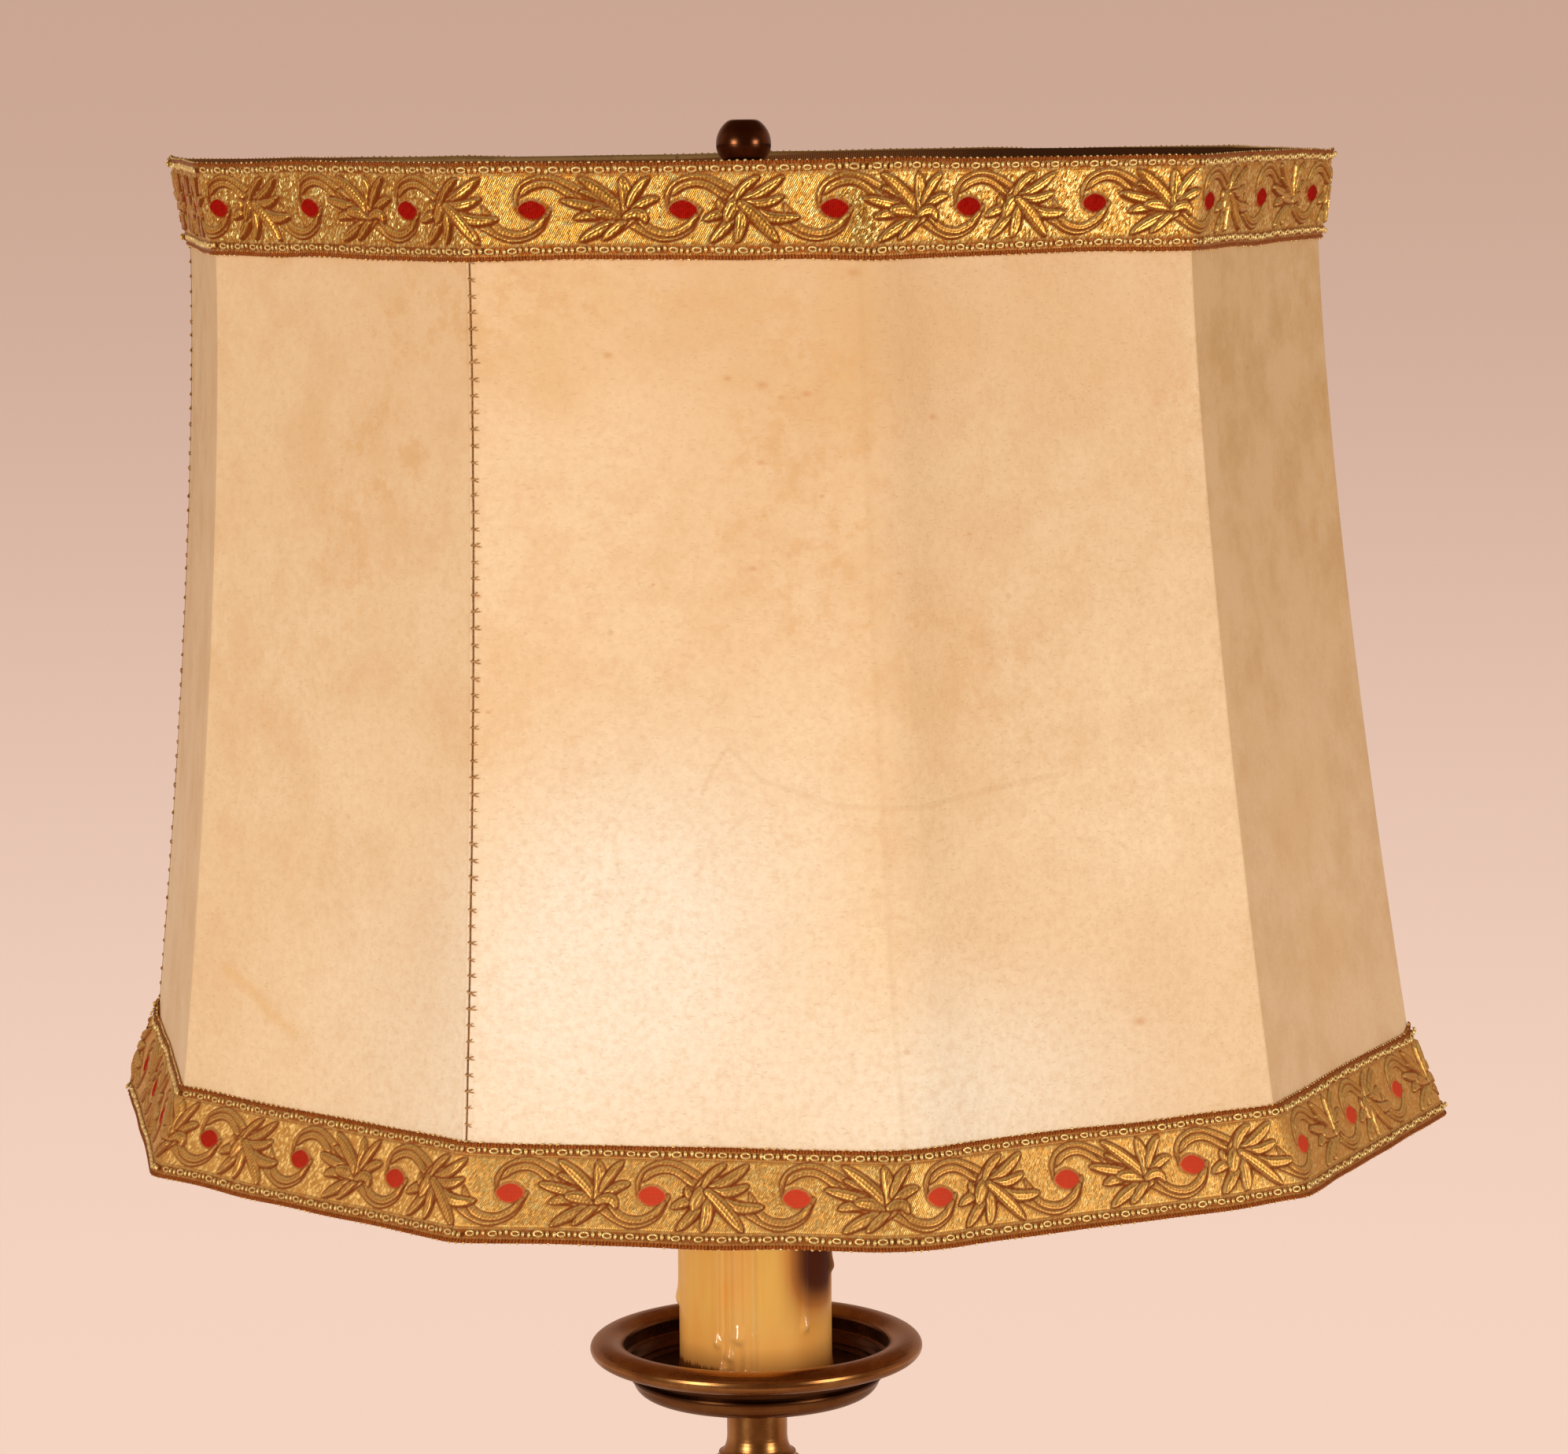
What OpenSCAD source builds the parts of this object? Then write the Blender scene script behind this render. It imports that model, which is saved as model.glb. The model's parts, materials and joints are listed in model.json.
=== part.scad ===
// Table lamp made as a turned brass candlestick: a foot, a stem, a drip pan, a
// sleeve that looks like a thick wax candle, two lampholders and a ten-sided
// parchment shade that hangs from a spider under a ball finial.
// Origin: middle of the foot's underside. +Z is up, and -Y is the front.

/* [Candlestick] */
// Height of the middle of the drip pan's rim above the table
pan_height = 421.2; // [350:0.2:520]
// Diameter of the foot
foot_d = 210; // [175:5:260]
// Height of the foot's upright edge band
foot_band_h = 18; // [16:1:30]
// Height of the foot's dome above the edge band
foot_dome_h = 44; // [36:1:60]
// Radius of the foot's dome at its lower edge
dome_r = 63; // [52:1:70]
// Radius of the foot's top, where the stem stands
foot_top_r = 27; // [22:1:34]
// Wall of the cast dome
foot_wall = 5; // [3:0.5:8]
// Thickness of the ballast disc in the foot
ballast_t = 11; // [8:1:12]
// Thickness of the plate that closes the foot
plate_t = 1.5; // [1:0.5:3]
// Thickness of the felt under the foot
felt_t = 2; // [1:0.5:4]
// Height of the column, the lower part of the stem
column_h = 118; // [90:2:150]
// Largest radius of the column's shaft
column_r = 13; // [11:0.5:17]
// Radius of the flattened ball between the column and the vase
knop_r = 26; // [20:1:34]
// Height of that ball
knop_h = 34; // [26:1:44]
// Largest radius of the vase, the upper part of the stem
vase_r = 22; // [17:0.5:28]

/* [Drip pan and candle] */
// Diameter of the drip pan over its rim
pan_d = 126.6; // [110:0.2:150]
// Width of the pan's rounded rim, seen from above
rim_w = 13; // [9:0.2:15]
// Thickness of the rim
rim_t = 8.6; // [6:0.1:10]
// Depth from the middle of the rim to the pan's flat underside
pan_depth = 18.1; // [15:0.1:24]
// Thickness of the pan's floor
pan_floor_t = 7.9; // [6:0.1:11]
// Radius of the bead line round the pan's body
pan_body_r = 48.4; // [44:0.2:54]
// Radius of the pan's flat underside
pan_under_r = 39; // [32:0.5:42]
// Height of the neck under the pan
neck_h = 37.2; // [31:0.2:44]
// Radius of the neck at its narrowest
neck_r = 11.5; // [9.5:0.1:14]
// Radius of the bead at the neck's foot
neck_bead_r = 18.1; // [16:0.1:22]
// Diameter of the candle
candle_d = 58.6; // [48:0.2:71]
// Length of the candle
candle_h = 190; // [150:5:230]
// Wall of the candle sleeve
candle_wall = 2.4; // [1.5:0.1:4]

/* [Rods and lampholders] */
// Diameter of the threaded tube that holds the lamp together
rod_d = 10; // [8:1:12]
// Bore of that tube, for the leads
rod_bore_d = 7; // [5:0.5:8]
// Bore of the inlet bush at the back of the foot
inlet_bore_d = 7.4; // [6:0.2:8]
// Distance of each lampholder from the lamp's middle
holder_reach = 46; // [40:1:60]
// Outer radius of a lampholder
holder_r = 20.5; // [19:0.5:24]
// Height of a lampholder's shell
holder_shell_h = 32; // [28:1:40]
// Diameter of the bulb's screw cap
bulb_cap_d = 26.4; // [26:0.1:27]
// Largest diameter of the bulb's glass
bulb_d = 60; // [45:1:66]
// Width of a lampholder's turn key
key_w = 14; // [10:1:18]

/* [Shade] */
// Number of sides of the shade
sides = 10; // [8:1:12]
// Gap between the pan's rim and the shade's lower edge
shade_gap = 94.1; // [78:0.1:126]
// Height of the shade
shade_h = 357.1; // [290:0.1:430]
// Corner radius of the parchment at its lower edge
hem_r = 250.3; // [226:0.1:275]
// Corner radius where the lower trim ends
hem_top_r = 237.9; // [215:0.2:262]
// Corner radius where the upper trim begins
waist_r = 210.7; // [190:0.2:235]
// Corner radius at the upper edge
crown_r = 215.7; // [195:0.2:240]
// How quickly the curve between the trims straightens
flare_power = 1.45; // [1:0.05:2.5]
// How far the lower edge has settled to the right of the upper one
rack = 8.6; // [0:0.2:12]
// Turn of the shade's first corner from +X
first_corner = 171.9; // [150:0.1:190]
// Thickness of the parchment
skin_t = 0.9; // [0.5:0.1:2]
// Width of the lower trim, measured upright
lower_trim_h = 31.5; // [20:0.1:40]
// Width of the upper trim, measured upright
upper_trim_h = 32.6; // [20:0.2:40]
// Thickness of the trims
trim_t = 1.6; // [0.8:0.1:3]
// Radius of the wire of the two rings
ring_wire_r = 2; // [1.5:0.1:3]
// Radius of the wire of the uprights
rib_wire_r = 1.5; // [1:0.1:2.5]
// Width of the tape that binds each ring
tape_h = 15; // [10:0.5:20]
// Radius of the lacing thread
lace_r = 0.7; // [0.4:0.1:1.2]

/* [Top fitting] */
// Radius of the ball finial
ball_r = 10.2; // [8:0.1:14]
// Half of the ball's height, which is a little less than its radius
ball_half_h = 8.9; // [7:0.1:9]
// Radius of the flat on top of the ball
ball_flat_r = 3.9; // [2:0.1:4.5]
// How far the ball's underside lies below the shade's upper edge
ball_sink = 5.2; // [4:0.1:8]
// How far the rod reaches into the ball
rod_in_ball = 11; // [8:0.5:12]

/* [Hidden] */
$fn = 96;

slip = 0.25;       // radial gap of a fixed piece round a rod
run_fit = 0.05;    // radial gap of a piece that turns or slides
skin_gap = 0.3;    // gap between a ring's wire and the parchment
rod_r = rod_d / 2;
through_r = rod_r + slip;
stem_bore_r = 8.5; // bore of the stem's pieces, wide for lightness
cut = 1;           // how far a cutter passes a face
candle_r = candle_d / 2;
rim_r = pan_d / 2;

// Levels from the table up
foot_band_top = felt_t + foot_band_h;
foot_top = foot_band_top + foot_dome_h;
column_top = foot_top + column_h;
knop_top = column_top + knop_h;
pan_under = pan_height - pan_depth;
neck_foot = pan_under - neck_h;
pan_floor = pan_under + pan_floor_t;
candle_top = pan_floor + candle_h;
cap_t = 3;
cluster_foot = candle_top + cap_t;
cluster_h = 48;
chamber_r = 14;    // chamber in the cluster body where the leads meet
chamber_foot = cluster_foot + 16;
chamber_top = cluster_foot + 38;
arm_start = chamber_r + 1;
arm_level = cluster_foot + 28;
arm_tube_r = 5;
arm_bend_r = 14;
holder_foot = arm_level + 24;
holder_cap_h = 18;
shell_foot = holder_foot + holder_cap_h;
shade_foot = pan_height + shade_gap;
shade_top = shade_foot + shade_h;
ball_foot = shade_top - ball_sink;
washer_t = 2.2;
spider_hub_t = 4;
spider_top = ball_foot - washer_t;
spider_foot = spider_top - spider_hub_t;
bush_flange_t = 3;
bush_foot = spider_foot - bush_flange_t;
nut_h = 6;
rod_top = ball_foot + rod_in_ball;

// Heights of the rings' wires
ring_inset_z = ring_wire_r + 2; // from the shade's edge to the wire's middle
top_ring_z = shade_top - ring_inset_z;
bottom_ring_z = shade_foot + ring_inset_z;

// Pieces at the foot
edge_w = 12;       // width of the foot's solid edge
hollow_r = foot_d / 2 - edge_w;
inlet_z = felt_t + foot_band_h / 2;
inlet_thread_r = inlet_bore_d / 2 + 1.4;
inlet_flange_r = inlet_bore_d / 2 + 3.3;
inlet_face_y = foot_d / 2 - 1.5;
inlet_inner_y = hollow_r - 2; // the bush's inner end, in the ballast's channel
inlet_flange_t = 3;
ballast_foot = felt_t + plate_t;
ballast_top = ballast_foot + ballast_t;
pocket_r = 17;     // pocket in the ballast for washer and nut
pocket_h = 8;
washer_r = 15;
bottom_washer_t = 1.5;

// Outlines of turned pieces: lists of [radius, height] that run upwards

// A hollow quarter curve from one point to another, upright at the narrow end
function cove(r1, z1, r2, z2, n = 8) = [
    for (i = [0:n])
        let (a = 90 * i / n)
        r1 > r2 ? [r1 + (r2 - r1) * sin(a), z1 + (z2 - z1) * (1 - cos(a))]
                : [r1 + (r2 - r1) * (1 - cos(a)), z1 + (z2 - z1) * sin(a)]
];

// A full quarter curve, upright at the wide end
function ovolo(r1, z1, r2, z2, n = 8) = [
    for (i = [0:n])
        let (a = 90 * i / n)
        r1 > r2 ? [r1 + (r2 - r1) * (1 - cos(a)), z1 + (z2 - z1) * sin(a)]
                : [r1 + (r2 - r1) * sin(a), z1 + (z2 - z1) * (1 - cos(a))]
];

// A half-round bead that reaches radius r between two heights
function bead(r, z1, z2, n = 10) = let (h = (z2 - z1) / 2) [
    for (i = [0:n])
        let (a = -90 + 180 * i / n)
        [r - h + h * cos(a), z1 + h + h * sin(a)]
];

// Turns an outline about the axis and bores it through
module turned(outline, bore_r) {
    low = outline[0][1];
    high = outline[len(outline) - 1][1];
    rotate_extrude()
        polygon(concat([[bore_r, low]], outline, [[bore_r, high]]));
}

module ring_disc(r_out, r_in, z, h) {
    translate([0, 0, z])
        difference() {
            cylinder(r = r_out, h = h);
            translate([0, 0, -cut])
                cylinder(r = r_in, h = h + 2 * cut);
        }
}

// Places a child at the left (-1) or right (1) lampholder
module at_holder(side) {
    translate([side * holder_reach, 0, 0])
        children();
}

// Shade geometry

corner_scale = 1 / cos(180 / sides);
hem_top = shade_foot + lower_trim_h;
waist_z = shade_top - upper_trim_h;
curve_steps = 10;

// Corner radius of the parchment's outer face at a height
function skin_r(z) =
    z <= hem_top ? hem_r + (hem_top_r - hem_r) * (z - shade_foot) / lower_trim_h :
    z >= waist_z ? waist_r + (crown_r - waist_r) * (z - waist_z) / upper_trim_h :
    waist_r + (hem_top_r - waist_r) * pow((waist_z - z) / (waist_z - hem_top), flare_power);

// How far the shade has settled to the right at a height
function sway(z) = rack * (top_ring_z - z) / shade_h;

// A point on corner k, inset from the parchment's outer face
function corner(k, z, inset) =
    let (r = skin_r(z) - inset * corner_scale, a = first_corner + 360 / sides * k)
    [r * cos(a) + sway(z), r * sin(a), z];

skin_levels = concat(
    [shade_foot],
    [for (i = [0:curve_steps]) hem_top + (waist_z - hem_top) * i / curve_steps],
    [shade_top]
);

// A strip of the shade's wall over some of its sides, as one closed solid
module wall_strip(first, count, levels, inset_out, inset_in) {
    closed = count == sides;
    columns = closed ? count : count + 1;
    rows = len(levels);
    outer = [for (z = levels) for (k = [0:columns - 1]) corner(first + k, z, inset_out)];
    inner = [for (z = levels) for (k = [0:columns - 1]) corner(first + k, z, inset_in)];
    base = rows * columns;
    function at(row, k) = row * columns + k % columns;
    outer_faces = [for (row = [0:rows - 2]) for (k = [0:count - 1])
        [at(row, k), at(row + 1, k), at(row + 1, k + 1), at(row, k + 1)]];
    inner_faces = [for (row = [0:rows - 2]) for (k = [0:count - 1])
        [base + at(row, k), base + at(row, k + 1), base + at(row + 1, k + 1), base + at(row + 1, k)]];
    foot_faces = [for (k = [0:count - 1])
        [at(0, k), at(0, k + 1), base + at(0, k + 1), base + at(0, k)]];
    top_faces = [for (k = [0:count - 1]) let (row = rows - 1)
        [at(row, k), base + at(row, k), base + at(row, k + 1), at(row, k + 1)]];
    start_faces = closed ? [] : [for (row = [0:rows - 2])
        [at(row, 0), base + at(row, 0), base + at(row + 1, 0), at(row + 1, 0)]];
    end_faces = closed ? [] : [for (row = [0:rows - 2]) let (k = columns - 1)
        [at(row, k), at(row + 1, k), base + at(row + 1, k), base + at(row, k)]];
    polyhedron(
        concat(outer, inner),
        concat(outer_faces, inner_faces, foot_faces, top_faces, start_faces, end_faces),
        convexity = 6
    );
}

// A wire up corner k between two heights, its section a level polygon
module corner_wire(k, levels, inset, r, facets) {
    rows = len(levels);
    points = [
        for (z = levels)
            let (c = corner(k, z, inset))
            for (i = [0:facets - 1])
                let (a = 360 / facets * i)
                [c[0] + r * cos(a), c[1] + r * sin(a), z]
    ];
    walls = [for (row = [0:rows - 2]) for (i = [0:facets - 1])
        let (j = (i + 1) % facets)
        [row * facets + i, (row + 1) * facets + i, (row + 1) * facets + j, row * facets + j]];
    foot_cap = [[for (i = [0:facets - 1]) i]];
    top_cap = [[for (i = [0:facets - 1]) rows * facets - 1 - i]];
    polyhedron(points, concat(walls, foot_cap, top_cap), convexity = 4);
}

// A straight wire between two points
module wire(a, b, r) {
    v = b - a;
    translate(a)
        rotate([0, acos(v[2] / norm(v)), atan2(v[1], v[0])])
            cylinder(r = r, h = norm(v), $fn = 24);
}

// A ring of wire that follows the shade's corners at one height
module wire_ring(z, facets = 10) {
    mid_r = skin_r(z) - (skin_t + skin_gap + ring_wire_r) * corner_scale;
    points = [
        for (k = [0:sides - 1])
            let (turn = first_corner + 360 / sides * k)
            for (i = [0:facets - 1])
                let (a = 360 / facets * i, r = mid_r + ring_wire_r * cos(a) * corner_scale)
                [r * cos(turn) + sway(z), r * sin(turn), z + ring_wire_r * sin(a)]
    ];
    walls = [for (k = [0:sides - 1]) for (i = [0:facets - 1])
        let (k2 = (k + 1) % sides, i2 = (i + 1) % facets)
        [k * facets + i, k * facets + i2, k2 * facets + i2, k2 * facets + i]];
    polyhedron(points, walls, convexity = 6);
}

// The foot

// The dome from the foot's shelf to its top; inset gives its inner face
function dome_outline(inset) =
    let (shelf = foot_band_top + 13 - inset, shoulder = foot_top - 12 - inset)
    ovolo(dome_r - inset, shelf, foot_top_r + 9 - inset, shoulder, 10);

module foot() {
    r = foot_d / 2;
    band_round = 5;
    shelf_r = r - 9;
    outline = concat(
        [[r - 1, felt_t], [r, felt_t + 1]],
        ovolo(r, foot_band_top - band_round, r - band_round, foot_band_top, 6),
        cove(shelf_r, foot_band_top, dome_r + 3, foot_band_top + 13, 10),
        dome_outline(0),
        cove(foot_top_r + 9, foot_top - 12, foot_top_r, foot_top - 4, 6),
        [[foot_top_r, foot_top]]
    );
    inside = concat(
        [[0, ballast_top - cut], [dome_r - foot_wall, ballast_top - cut]],
        dome_outline(foot_wall),
        [[0, foot_top - 12 - foot_wall]]
    );
    color([0.45, 0.28, 0.12])
        difference() {
            turned(outline, through_r);
            // Room for the ballast and the plate, and the hollow of the dome
            translate([0, 0, felt_t - cut])
                cylinder(r = hollow_r, h = ballast_top - felt_t + cut);
            rotate_extrude()
                polygon(inside);
            // Hole and spot face of the inlet bush
            translate([0, inlet_inner_y - cut, inlet_z])
                rotate([-90, 0, 0])
                    cylinder(r = inlet_thread_r + slip, h = foot_d);
            translate([0, inlet_face_y, inlet_z])
                rotate([-90, 0, 0])
                    cylinder(r = inlet_flange_r + slip, h = foot_d);
        }
}

module foot_ballast() {
    channel_w = 2 * inlet_thread_r + 1;
    color([0.25, 0.25, 0.26])
        difference() {
            ring_disc(hollow_r - slip, through_r, ballast_foot, ballast_t);
            // Pocket for the nut and the tube's lower end
            translate([0, 0, ballast_foot - cut])
                cylinder(r = pocket_r, h = pocket_h + cut);
            // Channel for the leads, from the inlet to the pocket
            translate([-channel_w / 2, 0, ballast_foot - cut])
                cube([channel_w, foot_d, ballast_t + 2 * cut]);
        }
}

module base_plate() {
    color([0.5, 0.5, 0.52])
        translate([0, 0, felt_t])
            cylinder(r = hollow_r - slip, h = plate_t);
}

module felt_pad() {
    color([0.2, 0.3, 0.22])
        cylinder(r = foot_d / 2 - 2.5, h = felt_t);
}

module inlet_bush() {
    bush_len = inlet_face_y - inlet_inner_y;
    color([0.72, 0.53, 0.25])
        translate([0, inlet_face_y, inlet_z])
            rotate([-90, 0, 0])
                difference() {
                    union() {
                        translate([0, 0, -bush_len])
                            cylinder(r = inlet_thread_r, h = bush_len + cut);
                        cylinder(r = inlet_flange_r, h = inlet_flange_t);
                    }
                    translate([0, 0, -bush_len - cut])
                        cylinder(r = inlet_bore_d / 2, h = bush_len + inlet_flange_t + 2 * cut);
                }
}

// The stem

module column() {
    ring_r = column_r + 8;
    top_r = column_r - 2;
    outline = concat(
        bead(ring_r + 3, foot_top, foot_top + 9),
        [[ring_r - 2, foot_top + 9], [ring_r - 2, foot_top + 11]],
        cove(ring_r - 2, foot_top + 11, column_r, foot_top + 28),
        [[column_r, foot_top + 29]],
        [[top_r, column_top - 18]],
        bead(top_r + 5, column_top - 18, column_top - 12, 8),
        [[top_r, column_top - 12]],
        cove(top_r, column_top - 12, top_r + 5, column_top - 3),
        [[top_r + 5, column_top]]
    );
    color([0.5, 0.32, 0.14])
        turned(outline, stem_bore_r);
}

module knop() {
    neck_w = 14;
    outline = concat(
        [[neck_w, column_top]],
        ovolo(neck_w, column_top, knop_r, column_top + knop_h / 2, 12),
        ovolo(knop_r, column_top + knop_h / 2, neck_w, knop_top, 12)
    );
    color([0.5, 0.32, 0.14])
        difference() {
            turned(outline, stem_bore_r);
            translate([0, 0, column_top + knop_h / 4])
                cylinder(r = knop_r - 7, h = knop_h / 2);
        }
}

module vase() {
    belly = knop_top + 46;
    slim_r = neck_r - 1.5;
    outline = concat(
        bead(18, knop_top, knop_top + 7, 8),
        [[12, knop_top + 7]],
        cove(12, knop_top + 7, 13, knop_top + 14, 6),
        ovolo(13, knop_top + 14, vase_r, belly, 12),
        ovolo(vase_r, belly, slim_r + 3, belly + 34, 12),
        cove(slim_r + 3, belly + 34, slim_r, belly + 52),
        [[slim_r, neck_foot - 22]],
        bead(slim_r + 4.5, neck_foot - 22, neck_foot - 16, 8),
        cove(slim_r, neck_foot - 16, neck_bead_r - 5, neck_foot - 4),
        [[neck_bead_r - 4, neck_foot - 4], [neck_bead_r - 4, neck_foot]]
    );
    color([0.5, 0.32, 0.14])
        difference() {
            turned(outline, stem_bore_r);
            translate([0, 0, knop_top + 24])
                cylinder(r = vase_r - 7, h = belly + 10 - knop_top - 24);
        }
}

module neck() {
    bead_top = neck_foot + 14;
    outline = concat(
        [[neck_bead_r - 4, neck_foot]],
        cove(neck_bead_r - 4, neck_foot, neck_bead_r - 5.5, neck_foot + 3, 4),
        bead(neck_bead_r, neck_foot + 3, bead_top - 1.5, 12),
        [[neck_r + 3.2, bead_top - 1.5], [neck_r + 3.2, bead_top]],
        cove(neck_r + 3.2, bead_top, neck_r, bead_top + 7, 8),
        [[neck_r, pan_under - 3]],
        cove(neck_r, pan_under - 3, neck_r + 1, pan_under, 4)
    );
    color([0.5, 0.32, 0.14])
        turned(outline, stem_bore_r);
}

module drip_pan() {
    half = rim_t / 2;
    rim_in = rim_r - rim_w;
    lip_z = pan_height - half;
    bead_z = pan_under + 7.6;
    dish_r = rim_in - 3;
    outline = concat(
        [[pan_under_r, pan_under]],
        cove(pan_under_r, pan_under, pan_under_r + 1.6, pan_under + 0.6, 3),
        ovolo(pan_under_r + 1.6, pan_under + 0.6, pan_body_r - 1.2, bead_z - 1, 8),
        bead(pan_body_r, bead_z - 1, bead_z + 0.6, 4),
        [[pan_body_r - 1.4, bead_z + 0.6]],
        cove(pan_body_r - 1.4, bead_z + 0.6, rim_r - rim_w / 2, lip_z, 6),
        [for (a = [-78:12:90]) [rim_r - rim_w / 2 + rim_w / 2 * cos(a), pan_height + half * sin(a)]],
        [for (a = [102:12:186]) [rim_r - rim_w / 2 + rim_w / 2 * cos(a), pan_height + half * sin(a)]],
        [[rim_in + 0.4, pan_height - half], [rim_in - 1, pan_height - half - 1]],
        [[dish_r, pan_floor + 1], [dish_r - 2, pan_floor]]
    );
    color([0.4, 0.24, 0.1])
        rotate_extrude()
            polygon(concat(
                [[through_r, pan_under]],
                outline,
                [[through_r, pan_floor]]
            ));
}

// The candle

module candle_seat() {
    color([0.72, 0.53, 0.25])
        ring_disc(candle_r - candle_wall - slip, through_r, pan_floor, 8);
}

module candle_sleeve() {
    color([0.9, 0.62, 0.3])
        ring_disc(candle_r, candle_r - candle_wall, pan_floor, candle_h);
}

module candle_cap() {
    color([0.5, 0.32, 0.14])
        union() {
            ring_disc(candle_r, through_r, candle_top, cap_t);
            ring_disc(candle_r - candle_wall - slip, through_r, candle_top - 5, 5 + cap_t);
        }
}

// Rod, nut and washer that clamp the candlestick

module tie_rod() {
    low = ballast_foot + 1;
    high = chamber_foot;
    color([0.7, 0.7, 0.7])
        ring_disc(rod_r, rod_bore_d / 2, low, high - low);
}

module bottom_washer() {
    color([0.7, 0.7, 0.7])
        ring_disc(washer_r, through_r, ballast_foot + pocket_h - bottom_washer_t, bottom_washer_t);
}

module bottom_nut() {
    nut_t = 4.5;
    color([0.7, 0.7, 0.7])
        translate([0, 0, ballast_foot + pocket_h - bottom_washer_t - nut_t])
            difference() {
                cylinder(r = rod_r + 4.5, h = nut_t, $fn = 6);
                translate([0, 0, -cut])
                    cylinder(r = rod_r, h = nut_t + 2 * cut);
            }
}

// The light cluster

module cluster_body() {
    z = cluster_foot;
    body_r = 20;
    outline = concat(
        [[15, z]],
        bead(16, z, z + 5, 6),
        cove(13, z + 5, 11.5, z + 10, 4),
        ovolo(11.5, z + 10, body_r, arm_level - 4, 8),
        ovolo(body_r, arm_level + 4, 10.5, z + cluster_h - 4, 8),
        [[10.5, z + cluster_h]]
    );
    color([0.72, 0.53, 0.25])
        difference() {
            turned(outline, rod_r);
            translate([0, 0, chamber_foot])
                cylinder(r = chamber_r, h = chamber_top - chamber_foot);
            translate([-body_r - cut, 0, arm_level])
                rotate([0, 90, 0])
                    cylinder(r = arm_tube_r, h = 2 * (body_r + cut));
        }
}

// A bent tube from the cluster body to a lampholder; side is -1 or 1
module arm(side) {
    flat_end = holder_reach - arm_bend_r;
    bend_z = arm_level + arm_bend_r;
    arm_bore_r = arm_tube_r - 1.5;
    module section() {
        difference() {
            circle(r = arm_tube_r);
            circle(r = arm_bore_r);
        }
    }
    color([0.72, 0.53, 0.25])
        mirror([side < 0 ? 1 : 0, 0, 0]) {
            translate([arm_start, 0, arm_level])
                rotate([0, 90, 0])
                    linear_extrude(flat_end - arm_start)
                        section();
            translate([flat_end, 0, bend_z])
                rotate([90, 0, 0])
                    rotate_extrude(angle = -90, start = 0)
                        translate([arm_bend_r, 0])
                            section();
            translate([holder_reach, 0, bend_z])
                linear_extrude(holder_foot + 4 - bend_z)
                    section();
        }
}

module holder_cap(side) {
    z = holder_foot;
    wall = 1.2;
    key_z = z + holder_cap_h - 6;
    outer = concat(
        [[8, z]],
        ovolo(8, z, holder_r, z + holder_cap_h - 11, 8),
        [[holder_r, z + holder_cap_h]]
    );
    inner = concat(
        [[holder_r - wall, z + holder_cap_h]],
        [[holder_r - wall, z + holder_cap_h - 10]],
        [[9, z + 2.5], [arm_tube_r, z + 2.5]]
    );
    color([0.72, 0.53, 0.25])
        at_holder(side)
            difference() {
                rotate_extrude()
                    polygon(concat([[arm_tube_r, z]], outer, inner));
                translate([0, 0, key_z])
                    rotate([0, 90 * side, 0])
                        cylinder(r = key_shaft_r + run_fit, h = holder_r + cut);
            }
}

module holder_shell(side) {
    color([0.72, 0.53, 0.25])
        at_holder(side)
            ring_disc(holder_r, holder_r - 0.8, shell_foot, holder_shell_h);
}

screw_wall = 0.6;
bulb_cap_r = bulb_cap_d / 2;
screw_r = bulb_cap_r + run_fit;
core_floor = shell_foot + 6;

module holder_core(side) {
    color([0.93, 0.92, 0.88])
        at_holder(side)
            difference() {
                translate([0, 0, shell_foot])
                    cylinder(r = holder_r - 0.8, h = holder_shell_h - 4);
                translate([0, 0, core_floor])
                    cylinder(r = screw_r + screw_wall, h = holder_shell_h);
            }
}

module screw_shell(side) {
    color([0.72, 0.53, 0.25])
        at_holder(side)
            ring_disc(screw_r + screw_wall, screw_r, core_floor, holder_shell_h - 8);
}

key_shaft_r = 2;
key_t = 2.4;
key_gap = 1;

// A shaft with a flat thumb plate, turned from the side of the lampholder
module turn_key(side) {
    key_z = holder_foot + holder_cap_h - 6;
    shaft_start = holder_r - 6;
    plate_start = holder_r + key_gap;
    color([0.15, 0.12, 0.1])
        translate([side * holder_reach, 0, key_z])
            rotate([0, 90 * side, 0]) {
                translate([0, 0, shaft_start])
                    cylinder(r = key_shaft_r, h = plate_start - shaft_start + 2);
                translate([0, 0, plate_start])
                    intersection() {
                        translate([-key_t / 2, -key_w / 2, 0])
                            cube([key_t, key_w, key_w * 0.72]);
                        translate([-key_t, 0, 0])
                            rotate([0, 90, 0])
                                cylinder(r = key_w * 0.72, h = 2 * key_t);
                    }
            }
}

bulb_foot = core_floor + 1;
bulb_cap_h = 24;
glass_foot = bulb_foot + bulb_cap_h;
glass_neck_r = bulb_cap_r - 0.6;
glass_wall = 0.8;
glass_mid = glass_foot + bulb_d * 0.82;

// Half outline of the glass, inset by its wall on the inside
function glass_outline(inset) =
    let (r = bulb_d / 2 - inset, low = glass_neck_r - inset, z0 = glass_foot, start = -38)
    concat(
        [[low, z0]],
        [for (i = [1:8])
            let (t = i / 8, edge = r * cos(start), level = glass_mid + r * sin(start))
            [low + (edge - low) * (t * t * (3 - 2 * t)) , z0 + (level - z0) * t]],
        [for (a = [start + 8:8:90]) [r * cos(a), glass_mid + r * sin(a)]],
        [[0, glass_mid + r]]
    );

module bulb_cap(side) {
    z = bulb_foot;
    color([0.75, 0.75, 0.76])
        at_holder(side)
            rotate_extrude()
                polygon([
                    [0, z], [4, z], [5.5, z + 1.5], [bulb_cap_r - 2, z + 4],
                    [bulb_cap_r, z + 5], [bulb_cap_r, z + bulb_cap_h],
                    [0, z + bulb_cap_h]
                ]);
}

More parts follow.
